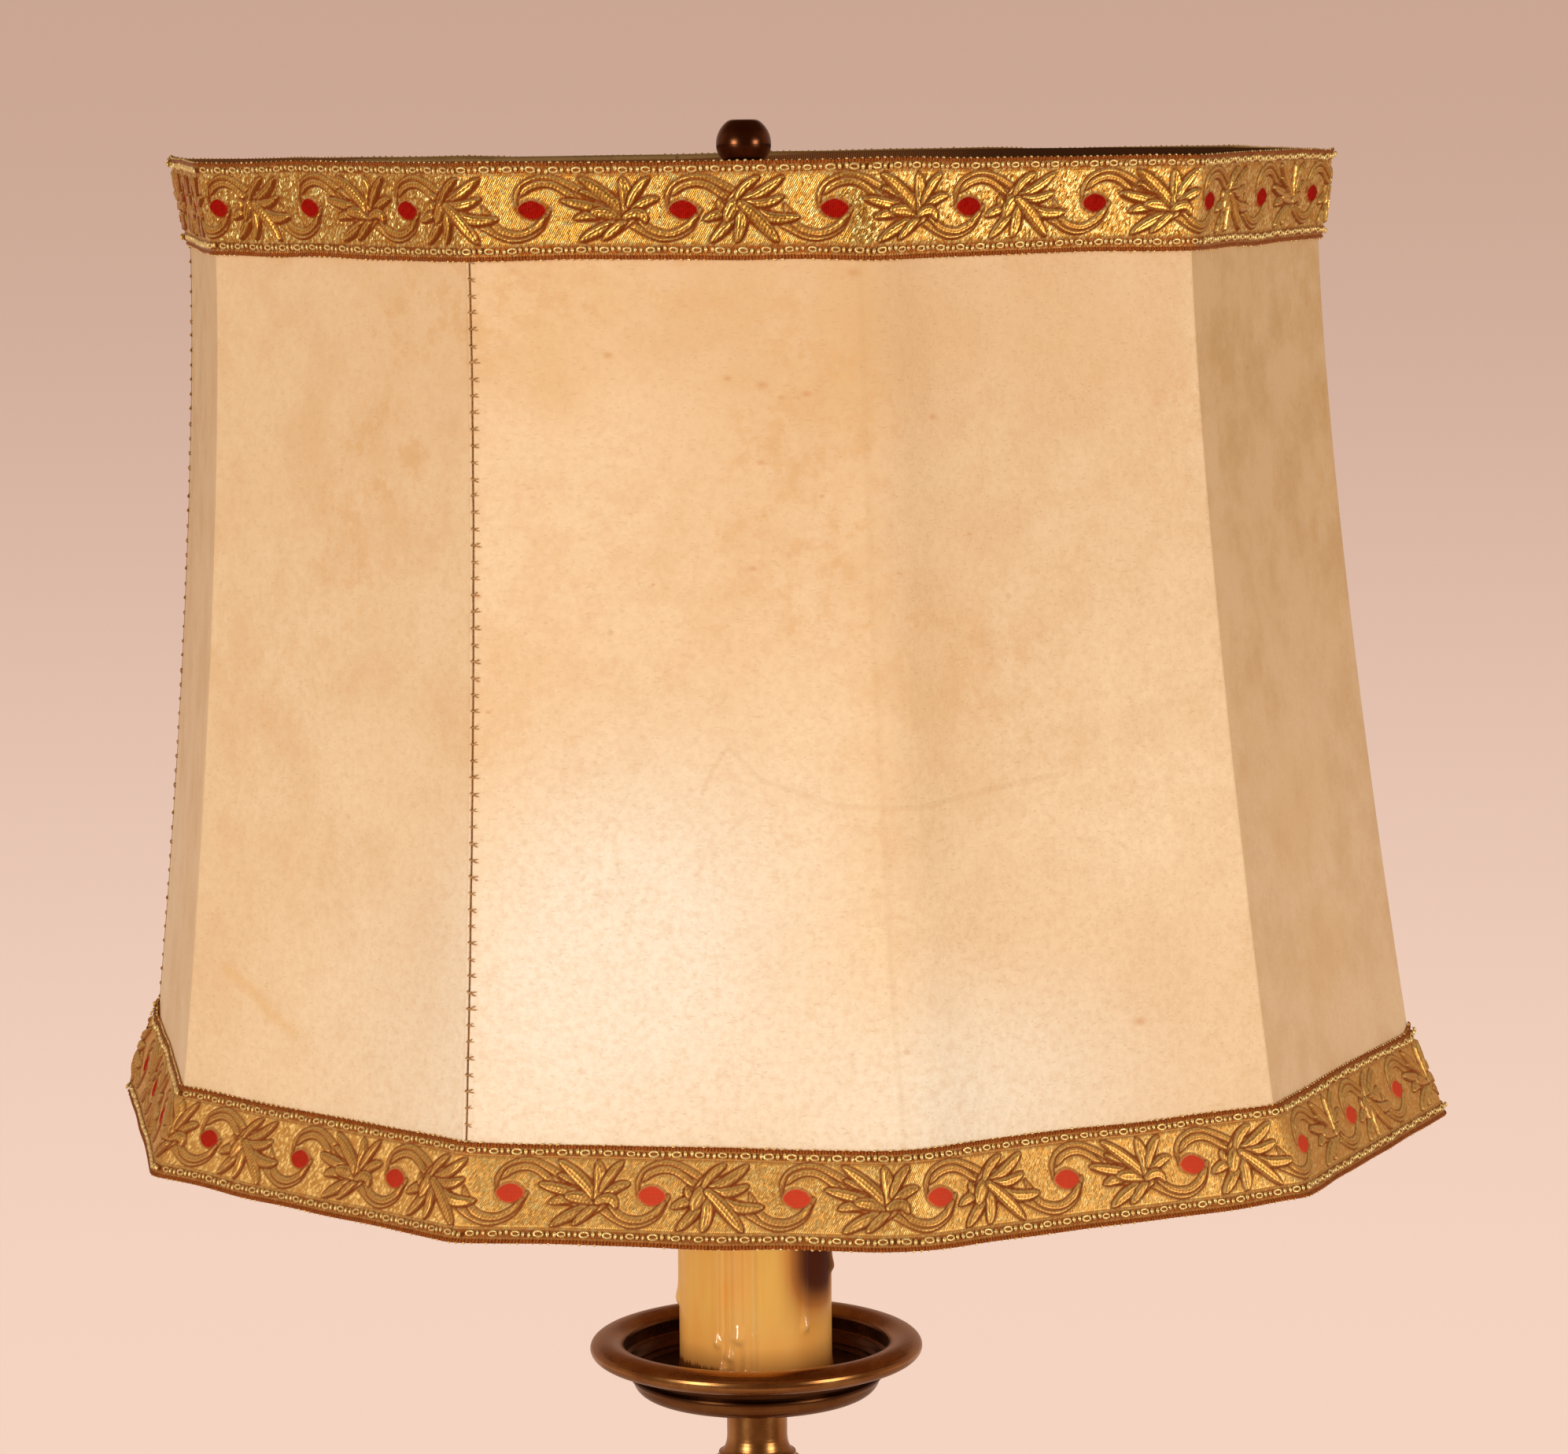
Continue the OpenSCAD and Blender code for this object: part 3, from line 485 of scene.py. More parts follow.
def skin_columns(first, last):
    """Places along the wall, closer together beside each corner."""
    plain = np.arange(NEAR_CORNER[-1] + PLAIN_STEP, SIDE - NEAR_CORNER[-1] - PLAIN_STEP / 2, PLAIN_STEP)
    offsets = np.concatenate([NEAR_CORNER, plain, SIDE - NEAR_CORNER[::-1]]) / SIDE
    columns = [corner + offsets for corner in range(first, last)]
    inner_corners = np.arange(first + 1, last)
    return np.sort(np.concatenate([*columns, inner_corners]))


def skin_swell(k, z, first, last):
    """How far a skin stands out: rolled edges at its two seams and gentle waves between."""
    rise = ease(z, SHADE_FOOT, SHADE_FOOT + 0.04) * ease(SHADE_TOP - z, 0, 0.04)
    from_start, to_end = (k - first) * SIDE, (last - k) * SIDE
    roll = 0.25 * MM * bell(from_start - 1.2 * MM, 0.8 * MM)
    roll += 0.75 * MM * bell(to_end - 1.0 * MM, 0.7 * MM)
    away = ease(from_start, 0, 0.02) * ease(to_end, 0, 0.02)
    wave = np.sin(2.3 * k + 9 * z) * np.sin(21 * z + 0.9 * k) + 0.5 * np.sin(5.1 * k - 17 * z)
    at_corner = np.abs(np.sin(np.pi * k)) ** 0.7
    return roll + 0.55 * MM * wave * rise * away * at_corner


def make_skin(name, first, last, finish):
    seen = np.linspace(HEM_TOP - UNDER_TRIM, WAIST + UNDER_TRIM, SKIN_ROWS)
    z = np.concatenate([[SHADE_FOOT + SKIN_SHORT], seen, [SHADE_TOP - SKIN_SHORT]])
    k, z = np.broadcast_arrays(skin_columns(first, last)[None, :], z[:, None])
    swell = skin_swell(k, z, first, last)
    points, faces = slab(wall(k, z, swell), wall(k, z, -SKIN_T))
    side = np.minimum(np.floor(k - 1e-6), SIDES - 1).astype(int)
    side_shade_and_tone = np.array(SIDE_SHADE_AND_TONE)[side].ravel()
    marks = {"side_shade_and_tone": np.concatenate([side_shade_and_tone, side_shade_and_tone])}
    piece = new_piece(name + "_parchment", points, faces, finish, "shade", marks)
    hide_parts(name)


def make_skins():
    finish = parchment()
    for name, first, last in (("skin_left", 0, 2), ("skin_front", 2, 6), ("skin_back", 6, 10)):
        make_skin(name, first, last, finish)


make_skins()


# Rows of repeated small pieces, by Geometry Nodes

ROW_INPUTS = (
    ("Path", "NodeSocketGeometry", None),
    ("Pitch", "NodeSocketFloat", 0.005),
    ("Stitch", "NodeSocketObject", None),
    ("Turn", "NodeSocketFloat", 0.1),
    ("Smallest", "NodeSocketFloat", 0.9),
    ("Largest", "NodeSocketFloat", 1.1),
    ("Seed", "NodeSocketInt", 1),
    ("Finish", "NodeSocketMaterial", None),
)


def row_tree():
    """Copies of a small piece set along a path, each facing the way that its place does."""
    group = bpy.data.node_groups.new("row of stitches", "GeometryNodeTree")
    for name, kind, start in ROW_INPUTS:
        socket = group.interface.new_socket(name, in_out="INPUT", socket_type=kind)
        if start is not None:
            socket.default_value = start
    group.interface.new_socket("Row", in_out="OUTPUT", socket_type="NodeSocketGeometry")
    tree = Tree(group)
    given = {name: tree.node("NodeGroupInput", output=name) for name, _, _ in ROW_INPUTS}
    curve = tree.node("GeometryNodeMeshToCurve", None, {0: given["Path"]})
    spaced = {"Curve": curve, "Length": given["Pitch"]}
    points = tree.node("GeometryNodeCurveToPoints", {"mode": "LENGTH"}, spaced)
    tangent = Value(tree, points.socket.node.outputs["Tangent"])
    named = {"data_type": "FLOAT_VECTOR"}
    facing = tree.node("GeometryNodeInputNamedAttribute", named, {"Name": "outward"})
    align, random = "FunctionNodeAlignRotationToVector", "FunctionNodeRandomValue"
    turned = tree.node(align, {"axis": "Z"}, {"Vector": facing})
    settings = {"axis": "X", "pivot_axis": "Z"}
    turned = tree.node(align, settings, {"Rotation": turned, "Vector": tangent})
    angles = {2: given["Turn"] * -1, 3: given["Turn"], "Seed": given["Seed"]}
    euler = tree.joined(0.0, 0.0, tree.node(random, {"data_type": "FLOAT"}, angles, 1))
    local = tree.node("FunctionNodeEulerToRotation", None, [euler])
    rotation = tree.node("FunctionNodeRotateRotation", {"rotation_space": "LOCAL"}, [turned, local])
    sizes = {2: given["Smallest"], 3: given["Largest"], "Seed": given["Seed"] + 1}
    scale = tree.node(random, {"data_type": "FLOAT"}, sizes, 1)
    shape = tree.node("GeometryNodeObjectInfo", None, {"Object": given["Stitch"]}, "Geometry")
    places = {"Points": points, "Instance": shape, "Rotation": rotation, "Scale": scale}
    copies = tree.node("GeometryNodeInstanceOnPoints", None, places)
    solid = tree.node("GeometryNodeRealizeInstances", None, {"Geometry": copies})
    done = tree.node("GeometryNodeSetMaterial", None, {"Geometry": solid, "Material": given["Finish"]})
    tree.put(group.nodes.new("NodeGroupOutput").inputs[0], done)
    return group


ROW_TREE = row_tree()


def path_object(name, lines, facings):
    """A mesh of edges only, along one or more open lines."""
    mesh = bpy.data.meshes.new(name)
    edges, start = [], 0
    for line in lines:
        edges += [(start + i, start + i + 1) for i in range(len(line) - 1)]
        start += len(line)
    mesh.from_pydata(np.concatenate(lines).tolist(), edges, [])
    layer = mesh.attributes.new("outward", "FLOAT_VECTOR", "POINT")
    layer.data.foreach_set("vector", np.concatenate(facings).astype(np.float32).ravel())
    return link(bpy.data.objects.new(name, mesh))


def stitch_row(name, lines, facings, stitch, finish, body, slot, **sizes):
    """Runs the row tree on a path and keeps the result as a plain mesh."""
    path = path_object(name + "_path", lines, facings)
    modifier = path.modifiers.new("row", "NODES")
    modifier.node_group = ROW_TREE
    values = {"Stitch": stitch, "Finish": finish.material, **sizes}
    for item in ROW_TREE.interface.items_tree:
        if item.in_out == "INPUT" and item.name in values:
            modifier[item.identifier] = values[item.name]
    evaluated = path.evaluated_get(bpy.context.evaluated_depsgraph_get())
    mesh = bpy.data.meshes.new_from_object(evaluated)
    mesh.name = name
    mesh.shade_smooth()
    bpy.data.objects.remove(path)
    bpy.data.objects.remove(stitch)
    return settle(link(bpy.data.objects.new(name, mesh)), body)


def tube(line, radius, around=6):
    """Points and faces of a closed tube along a line."""
    line = np.asarray(line, float)
    radius = np.broadcast_to(radius, len(line))
    ahead = np.gradient(line, axis=0)
    ahead /= np.linalg.norm(ahead, axis=1, keepdims=True)
    side = np.cross(ahead, np.where(np.abs(ahead[:, 2:]) < 0.9, [[0, 0, 1.0]], [[1.0, 0, 0]]))
    side /= np.linalg.norm(side, axis=1, keepdims=True)
    up = np.cross(side, ahead)
    turn = full_turn(around)[None, :, None]
    rings = side[:, None] * np.cos(turn) + up[:, None] * np.sin(turn)
    points = (line[:, None] + rings * radius[:, None, None]).reshape(-1, 3)
    last = (len(line) - 1) * around
    caps = [np.arange(around)[::-1][None], (last + np.arange(around))[None]]
    return points, [grid_faces(len(line), around, closed=True, inward=True), *caps]


def merged(parts):
    """Several points-and-faces pairs as one."""
    points, faces, start = [], [], 0
    for some, groups in parts:
        points.append(some)
        faces += [np.asarray(group) + start for group in groups]
        start += len(some)
    return np.concatenate(points), faces


def loose_stitch(name, parts):
    """A small mesh that only the row tree uses."""
    points, faces = merged(parts)
    mesh = bpy.data.meshes.new(name)
    mesh.from_pydata(points.tolist(), [], [face.tolist() for group in faces for face in group])
    return link(bpy.data.objects.new(name, mesh))


# Lacing of the seams


def lacing_thread(name, dark, light):
    f = Finish(name, roughness=0.7, specular_ior_level=0.1)
    place = f.place()
    strands = f.noise(f.stretched(place, (900, 900, 2600)), 1, 3, 0.6)
    f.set(base_color=f.mix(strands.step(0.3, 0.7), dark, light), normal=f.bump(strands, 0.0003, 0.6))
    return f


LACE_PITCH = 5.5 * MM
LACE_R = 0.23 * MM
SEAM_POINTS = 150


def make_lacing():
    inner = lacing_thread("waxed seam thread", tone(104, 58, 22), tone(168, 108, 52))
    outer = lacing_thread("waxed stitching thread", tone(150, 96, 46), tone(214, 164, 106))
    z = np.linspace(HEM_TOP + 0.5 * MM, WAIST - 0.5 * MM, SEAM_POINTS)
    lines, facings, threads = [], [], []
    for seam in SEAMS:
        at = seam + ripple(z, seam, 0.05, 0.12 * MM) / SIDE
        lines.append(wall(at, z, 0.55 * MM))
        facings.append(outward(np.full_like(z, seam), z))
        threads.append(tube(wall(at, z, 0.25 * MM), LACE_R * 1.15))
    points, faces = merged(threads)
    thread = new_piece("seam_thread", points, faces, inner, "shade")
    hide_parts("seam_lacing")
    # Local X runs up the seam, Y to its left and Z out of the wall
    arms = [
        [(0.1, 1.2, -0.75), (0.05, 0.7, 0.0), (0.1, 0, 0.25), (0.3, -0.9, 0.05), (0.7, -1.9, -0.6)],
        [(0.5, 0.7, -0.7), (0.3, 0.4, 0.05), (0.05, 0, 0.3), (-0.2, -0.8, 0.1), (-0.55, -2.2, -0.6)],
    ]
    parts = [tube(smooth_line(np.array(arm) * MM, 3), LACE_R, 5) for arm in arms]
    stitch = loose_stitch("lace_stitch", parts)
    sizes = {"Pitch": LACE_PITCH, "Turn": 0.3, "Smallest": 0.75, "Largest": 1.1, "Seed": 5}
    stitch_row("seam_stitches", lines, facings, stitch, outer, "shade", "lacing", **sizes)


make_lacing()


# The trims' ornament: a running vine with leaves and red dots, in millimetres round a dot.
# One repeat has two dots; the first leaf spray follows the first dot, the other the second.

DRAWN_PITCH = 50.0
REPEAT = 2 * DRAWN_PITCH
RIBBON_LOW, RIBBON_HIGH = -16.3, 15.5
TILE_STEP = 0.25
VINE = [
    (-5, 0.8), (-4.6, 5), (-1, 8.6), (5.7, 10.2), (14.3, 7.3), (26.1, -0.6), (38, -8), (45, -9.4),
    (52, -6.2), (55.7, -0.2),
]
VINE_START = [(-3.3, 4.6), (-0.4, 7.0), (4.4, 8.3), (9.2, 7.2), (14.6, 3.4)]
VINE_END = [(33.8, 1.2), (36.4, -4.1), (40, -7.1), (45.8, -8.0), (51.3, -5.6), (54.3, -2.2)]
# Each leaf lobe: foot, bend, tip, half width
FIRST_SPRAY = [
    ((29.4, -3.8), (22, -6.3), (15.3, -10.5), 1.6),
    ((31, -3.2), (27.6, -6.2), (22.9, -10.0), 1.3),
    ((25.0, -1.6), (19.5, -1.4), (14.0, -3.2), 1.4),
    ((25.5, -0.2), (18, 1.0), (10.0, 2.9), 1.45),
    ((31.2, -2.2), (26.5, -1.2), (19.5, -0.9), 1.9),
    ((26.4, 2.4), (21.4, 4.4), (16.6, 6.0), 0.9),
    ((31.0, -2.0), (25, 5.2), (16.4, 10.4), 1.75),
    ((31.0, -1.4), (32.4, 4), (30.4, 10.5), 1.95),
    ((32.4, 1.4), (34.6, 6.6), (39.4, 10.4), 1.35),
    ((33.0, -1.0), (36.8, 2.9), (42.0, 3.4), 1.35),
    ((31, -2.6), (36.6, 0.6), (37.6, -4.4), 1.5),
]
SECOND_SPRAY = [
    ((67.4, -1.4), (64.6, -5.8), (58.9, -10.6), 1.5),
    ((68.8, 0.4), (70.2, -5), (67.5, -10.7), 1.75),
    ((66.0, -0.6), (61.6, -1.4), (57.0, -3.6), 1.35),
    ((65.2, -0.2), (62.0, -0.4), (62.3, 3.0), 0.95),
    ((69.4, 3.0), (66.4, 1.6), (64.3, -4.2), 2.1),
    ((68.2, 3.6), (70.2, 7.4), (75.6, 10.1), 1.2),
    ((70.4, 2.8), (76.6, 4.4), (83.5, 10.1), 1.5),
    ((70.2, 1.8), (76.8, 0.4), (83.4, 3.7), 1.35),
    ((71.5, 0.6), (78, -5.0), (88.4, -2.9), 1.6),
    ((69.4, 1.6), (75, -2.6), (81.2, -10.8), 1.8),
]
# Half width of a vine, and width of the dark line round each stroke
VINE_HALF, OUTLINE = 0.9, 0.6
DOT_HALF = (5.0, 3.25)
# The repeat is drawn with its neighbours, so that what crosses its ends is whole
SHIFTS = (-REPEAT, 0, REPEAT)


def along(x, y, line):
    """Distance from each place to a line, and the share of the line's length at the nearest point."""
    line = np.asarray(line)
    lengths = np.linalg.norm(np.diff(line, axis=0), axis=1)
    before = np.concatenate([[0], np.cumsum(lengths)])
    nearest, share = np.full(x.shape, 1e9), np.zeros(x.shape)
    for i, (a, b) in enumerate(zip(line, line[1:])):
        v = b - a
        t = np.clip(((x - a[0]) * v[0] + (y - a[1]) * v[1]) / max(v @ v, 1e-9), 0, 1)
        d = np.hypot(x - a[0] - t * v[0], y - a[1] - t * v[1])
        closer = d < nearest
        nearest = np.where(closer, d, nearest)
        share = np.where(closer, (before[i] + t * lengths[i]) / before[-1], share)
    return nearest, share


def bent(foot, bend, tip):
    """A curve from foot to tip that is drawn towards bend."""
    t = np.linspace(0, 1, 9)[:, None]
    return np.array(foot) * (1 - t) ** 2 + 2 * np.array(bend) * t * (1 - t) + np.array(tip) * t**2


class Ornament:
    """Height, outline and colour masks of one repeat, drawn stroke over stroke."""

    def __init__(self):
        across = np.arange(0, REPEAT, TILE_STEP)
        up = np.arange(RIBBON_LOW, RIBBON_HIGH + TILE_STEP, TILE_STEP)
        self.x, self.y = np.meshgrid(across, up)
        self.height, self.outline, self.raised, self.red = np.zeros((4, *self.x.shape))

    def lit(self):
        """How far each place leans up and to the left, where a highlight is painted, or away from it,
        where shade is painted.
        """
        up, across = np.gradient(self.height, TILE_STEP)
        return np.clip((across * 0.5 - up * 0.87) * 0.75, -1, 1)

    def lay(self, inside, ring, body):
        """Lays one stroke over what is there: its body, with a dark sunk line round it."""
        self.outline = np.maximum(self.outline * (1 - inside), ring)
        kept = self.height * (1 - inside) * (1 - 0.6 * ring)
        self.height = kept - 0.22 * ring * (1 - inside) + inside * body
        self.raised = np.maximum(self.raised * (1 - ring), inside)

    def web(self, lobes):
        """The blade that joins a spray's lobes, laid as one shape under them."""
        edge = np.full(self.x.shape, 1e9)
        for foot, bend, tip, half in lobes:
            for shift in SHIFTS:
                d, share = along(self.x, self.y, bent(foot, bend, tip) + [shift, 0])
                edge = np.minimum(edge, d - 1.5 * half * np.clip(1 - share, 0, 1) ** 0.42)
        inside = 1 - ease(edge, -0.1, 0.15)
        ring = ease(edge, -0.05, 0.15) * (1 - ease(edge, OUTLINE, OUTLINE + 0.35))
        self.lay(inside, ring, 0.42)

    def stroke(self, line, widths, rise, groove, parting):
        for shift in SHIFTS:
            line_here = np.asarray(line) + [shift, 0]
            if line_here[:, 0].max() < -4 or line_here[:, 0].min() > REPEAT + 4:
                continue
            d, share = along(self.x, self.y, line_here)
            w = widths(share)
            inside = 1 - ease(d, w - 0.1, w + 0.15)
            ring = ease(d, w - 0.05, w + 0.15) * (1 - ease(d, w + OUTLINE - 0.1, w + OUTLINE + 0.25))
            dome = np.sqrt(np.clip(1 - (d / (w + 0.15)) ** 2, 0, 1))
            vein = bell(d, 0.27) * ease(1 - share, 0, 0.25)
            self.lay(inside, ring, rise * dome - groove * vein)
            self.outline = np.maximum(self.outline, parting * vein * inside)

    def vine(self, line):
        taper = lambda s: VINE_HALF * ease(s, -0.05, 0.12) * (0.55 + 0.45 * ease(1 - s, 0, 0.12))
        self.stroke(smooth_line(line), taper, 0.85, 0.5, 0.7)

    def lobe(self, foot, bend, tip, half):
        width = lambda s: half * np.clip(1 - s, 0, 1) ** 0.62 * (0.5 + 1.7 * s) / 0.93 + 0.05
        self.stroke(bent(foot, bend, tip), width, 1.2, 0.5, 0.35)

    def dot(self, at):
        for shift in SHIFTS:
            across = np.abs(self.x - at - shift) / DOT_HALF[0]
            up = np.abs(self.y) / DOT_HALF[1]
            d = (across**1.7 + up**1.7) ** (1 / 1.7)
            inside = 1 - ease(d, 0.92, 1.04)
            ring = ease(d, 0.95, 1.05) * (1 - ease(d, 1.1, 1.25))
            self.lay(inside, ring * 0.7, 0.5 * np.sqrt(np.clip(1 - d**2, 0, 1)) + 0.12)
            self.red = np.maximum(self.red, inside)
            self.raised *= 1 - inside


def draw_ornament():
    drawn = Ornament()
    for first in (0, DRAWN_PITCH):
        for line in (VINE, VINE_START, VINE_END):
            drawn.vine([(x + first, y) for x, y in line])
    for spray in (FIRST_SPRAY, SECOND_SPRAY):
        drawn.web(spray)
        for lobe in spray:
            drawn.lobe(*lobe)
    for at in (0, DRAWN_PITCH):
        drawn.dot(at)
    return drawn


ORNAMENT = draw_ornament()
ORNAMENT_LIT = ORNAMENT.lit()


def sampled(field, x, y):
    """Values of a field of the ornament at places along and up the ribbon."""
    rows, columns = field.shape
    across = (x / TILE_STEP) % columns
    up = np.clip((y - RIBBON_LOW) / TILE_STEP, 0, rows - 1.001)
    i, j = np.floor(up).astype(int), np.floor(across).astype(int) % columns
    s, t = up - i, across - np.floor(across)
    right = (j + 1) % columns
    low = field[i, j] * (1 - t) + field[i, right] * t
    high = field[i + 1, j] * (1 - t) + field[i + 1, right] * t
    return low * (1 - s) + high * s


# Heights up the ribbon of its two lines, its gold loops and its edges, in the drawing's millimetres
LINE_AT, LOOPS_AT, EDGE_AT = 11.35, 13.1, 14.3
TRIM_BASE = 0.75
TRIM_BACK = 0.12 * MM
TRIM_CELL = 0.45 * MM
TRIM_LENGTHS = 4
TRIM_ROUNDING = 3.5 * MM


def trim_relief(x, y):
    """Height over the skin in millimetres, and the masks, at places on the ribbon."""
    height = TRIM_BASE + sampled(ORNAMENT.height, x, y)
    outline = sampled(ORNAMENT.outline, x, y)
    lines = bell(np.abs(y) - LINE_AT, 0.25)
    border = ease(np.abs(y), LINE_AT + 0.2, LINE_AT + 0.5)
    edge = ease(np.where(y > 0, y, -y - 0.5), EDGE_AT - 0.4, EDGE_AT)
    roll = np.sin(np.clip((np.where(y > 0, RIBBON_HIGH - y, y - RIBBON_LOW)) / 1.1, 0, 1) * np.pi)
    height = height - 0.25 * lines + edge * 0.45 * roll
    marks = {
        "outline": np.maximum(outline, lines * 0.85),
        "raised": sampled(ORNAMENT.raised, x, y),
        "lit": sampled(ORNAMENT_LIT, x, y),
        "red": sampled(ORNAMENT.red, x, y),
        "border": border * (1 - edge),
        "edge": edge,
    }
    return height, marks


class Ribbon:
    """One of the two trims: where it runs and how its pattern is spaced."""

    TIP_REACH, CORNER_TIP_REACH = 0.0052, 0.0035

    def __init__(self, foot, top, dots, seed, tip, corner_tip):
        self.foot, self.top, self.seed, self.tip, self.corner_tip = foot, top, seed, tip, corner_tip
        middle = sharp_wall(np.array([0.0, 1.0]), np.full(2, (foot + top) / 2), np.zeros(2))
        self.side = np.linalg.norm(middle[1] - middle[0])
        self.length = SIDES * self.side
        # The ribbon was eased on by hand, so its dots are given one by one, in millimetres
        self.dots = np.array(dots) * MM
        self.pitch = (self.dots[-1] - self.dots[0]) / (len(dots) - 1)
        slant = skin_radius(np.array([foot, top]))
        self.width = math.hypot(top - foot, (slant[0] - slant[1]) / CORNER_SCALE)

    def from_join(self, u):
        """Distance from the join at the first corner, less on one side and more on the other."""
        return (u + self.length / 2) % self.length - self.length / 2

    def point(self, u, share, out):
        """A place on the ribbon: u along it, share up it from 0 to 1, out from the skin."""
        join = self.from_join(u)
        corner = self.from_join(u - 5 * self.side)
        up = self.foot + (self.top - self.foot) * share
        up = up + share * ripple(u, self.seed, 0.19, 0.55 * MM)
        up = up + (1 - share) * ripple(u, self.seed + 1, 0.16, 0.6 * MM)
        up = up + self.tip * np.exp(-np.abs(join / self.TIP_REACH) ** 1.3) * share**2
        corner_rise = np.exp(-np.abs(corner / self.CORNER_TIP_REACH) ** 1.3)
        up = up + self.corner_tip * corner_rise * share**3
        swell = 0.28 * MM * (1 + np.sin(u / 0.009 + 3 * np.sin(u / 0.05)) * (share - 0.5))
        ruffle = self.tip * 0.3 * bell(join, 0.009) * np.sin(math.pi * share)
        ruffle = ruffle + self.tip * 0.05 * np.sin(join / 0.0011) * bell(join, 0.010)
        return wall(u / self.side, up, out + swell + ruffle, TRIM_ROUNDING)

    def drawn(self, u, share):
        """The place in the drawn ornament, in its millimetres."""
        count = np.arange(len(self.dots))
        before = np.minimum(u - self.dots[0], 0) / self.pitch
        after = np.maximum(u - self.dots[-1], 0) / self.pitch
        x = (np.interp(u, self.dots, count) + before + after + 1) * DRAWN_PITCH
        return x, RIBBON_LOW + (RIBBON_HIGH - RIBBON_LOW) * share

    def facing(self, u, share):
        up = self.foot + (self.top - self.foot) * share
        return outward(u / self.side, up + 0 * u)


UPPER_DOTS = (140.9, 187.8, 236.9, 287.0, 337.1, 386.8, 436.5, 485.3, 535.7, 588.7, 640.6)
LOWER_DOTS = (174.2, 222.2, 270.7, 319.5, 366.9, 415.3, 463.9, 513.4, 563.1, 614.9, 667.2, 717.9)
UPPER = Ribbon(WAIST, SHADE_TOP, UPPER_DOTS, 11, 1.2 * MM, 0.8 * MM)
LOWER = Ribbon(SHADE_FOOT, HEM_TOP, LOWER_DOTS, 23, 5.5 * MM, 3.5 * MM)


def brocade():
    f = Finish("gold brocade", specular_ior_level=0.02)
    x, _, z = f.parts(f.place())
    # Paler, rougher and with less glitter on the lower trim than on the upper
    on_lower_trim = 1 - z.step(HEM_TOP, WAIST)
    u, v, _ = f.parts(f.attribute("ribbon", "Vector"))
    masks = ("outline", "raised", "red", "border", "edge", "lit")
    outline, raised, red, border, edge, lit = (f.attribute(name) for name in masks)
    # Relief that leans up to the left gets a painted highlight, broken into glints, and relief that
    # leans away gets painted shade
    highlight_side, shade_side = lit.at_least(0), (lit * -1).at_least(0)
    across, length = u * 0.86 - v * 0.5, v * 0.86 + u * 0.5
    bright, other, third = f.parts(f.cells(f.joined(across * 2100, length * 900), 1, "Color"))
    # Twill that slants up to the right on the ground, satin floats on the leaves, satin on the
    # dots and whipping on the edges, each with its pitch
    ways = ((across, 0.0006), (u * 0.92 - v * 0.4, 0.0012), (u, 0.0007), (u, 0.0011))
    ribs, floats, satin, whipping = (
        (way * (2 * math.pi / pitch)).sine() * 0.5 + 0.5 for way, pitch in ways
    )
    ground = f.layered(
        f.mix(ribs * 0.5 + other * 0.5, tone(172, 96, 30), tone(242, 186, 84)),
        (on_lower_trim * 0.45, tone(238, 180, 88)),
        # Painted glints: pale flecks on the ground
        (bright.step(0.55, 0.85) * (1 - on_lower_trim * 0.3) * 0.85, tone(255, 238, 158)),
    )
    leaf = f.mix(floats * 0.6 + other * 0.4, tone(186, 100, 30), tone(255, 208, 104))
    glint = bright.step(0.2, 0.5) * 0.6 + 0.4
    dot = f.mix(satin * 0.5 + other * 0.5, tone(124, 6, 2), tone(180, 26, 12))
    dot = f.mix(on_lower_trim * (x.step(-0.2, -0.04) * 0.45 + 0.15), dot, tone(230, 84, 52))
    colour = f.layered(
        ground,
        (raised, leaf),
        # Painted highlight and painted shade on the relief's two sides
        ((highlight_side * glint * 1.2).at_most(1), tone(255, 224, 134)),
        ((shade_side * 1.4).at_most(0.9), tone(132, 62, 20)),
        (on_lower_trim * 0.2, tone(255, 206, 130)),
        (border * 0.85, tone(140, 58, 16)),
        (outline * 0.95, tone(132, 48, 10)),
        (red, dot),
        (edge, f.mix(whipping * 0.6 + bright * 0.4, tone(92, 36, 10), tone(182, 98, 40))),
    )
    metal = (1 - red) * (1 - edge * 0.8) * (1 - outline * 0.9) * (1 - border * 0.5)
    metal = metal * (1 - shade_side * 0.4) * 0.9
    rough = 0.36 - raised * 0.06 + outline * 0.5 + red * 0.35 + on_lower_trim * 0.12
    f.set(base_color=colour, metallic=metal, roughness=rough)
    weave = ribs * (1 - raised) * 0.5 + floats * raised * 0.25 + satin * red * 0.5 + whipping * edge
    woven = f.bump(weave, 0.00018, 0.7)
    # Each thread lies a little differently, which makes the cloth glitter
    spread = (1 - raised * 0.4) * (1 - red) * (1 - edge * 0.6) * (1 - on_lower_trim * 0.3) * 0.4
    lean = f.joined(*((thread - 0.5) * spread for thread in (bright, other, third)))
    glitter = f.node("ShaderNodeVectorMath", {"operation": "ADD"}, [woven, lean])
    f.set(normal=f.node("ShaderNodeVectorMath", {"operation": "NORMALIZE"}, [glitter]))
    return f


def gold_thread():
    f = Finish("gold thread", metallic=0.6, roughness=0.34)
    place = f.place()
    strands = f.noise(place, 1500, 2, 0.6)
    f.set(base_color=f.mix(strands.step(0.3, 0.7), tone(236, 180, 92), tone(255, 238, 166)))
    f.set(normal=f.bump(strands, 0.0002, 0.5))
    return f


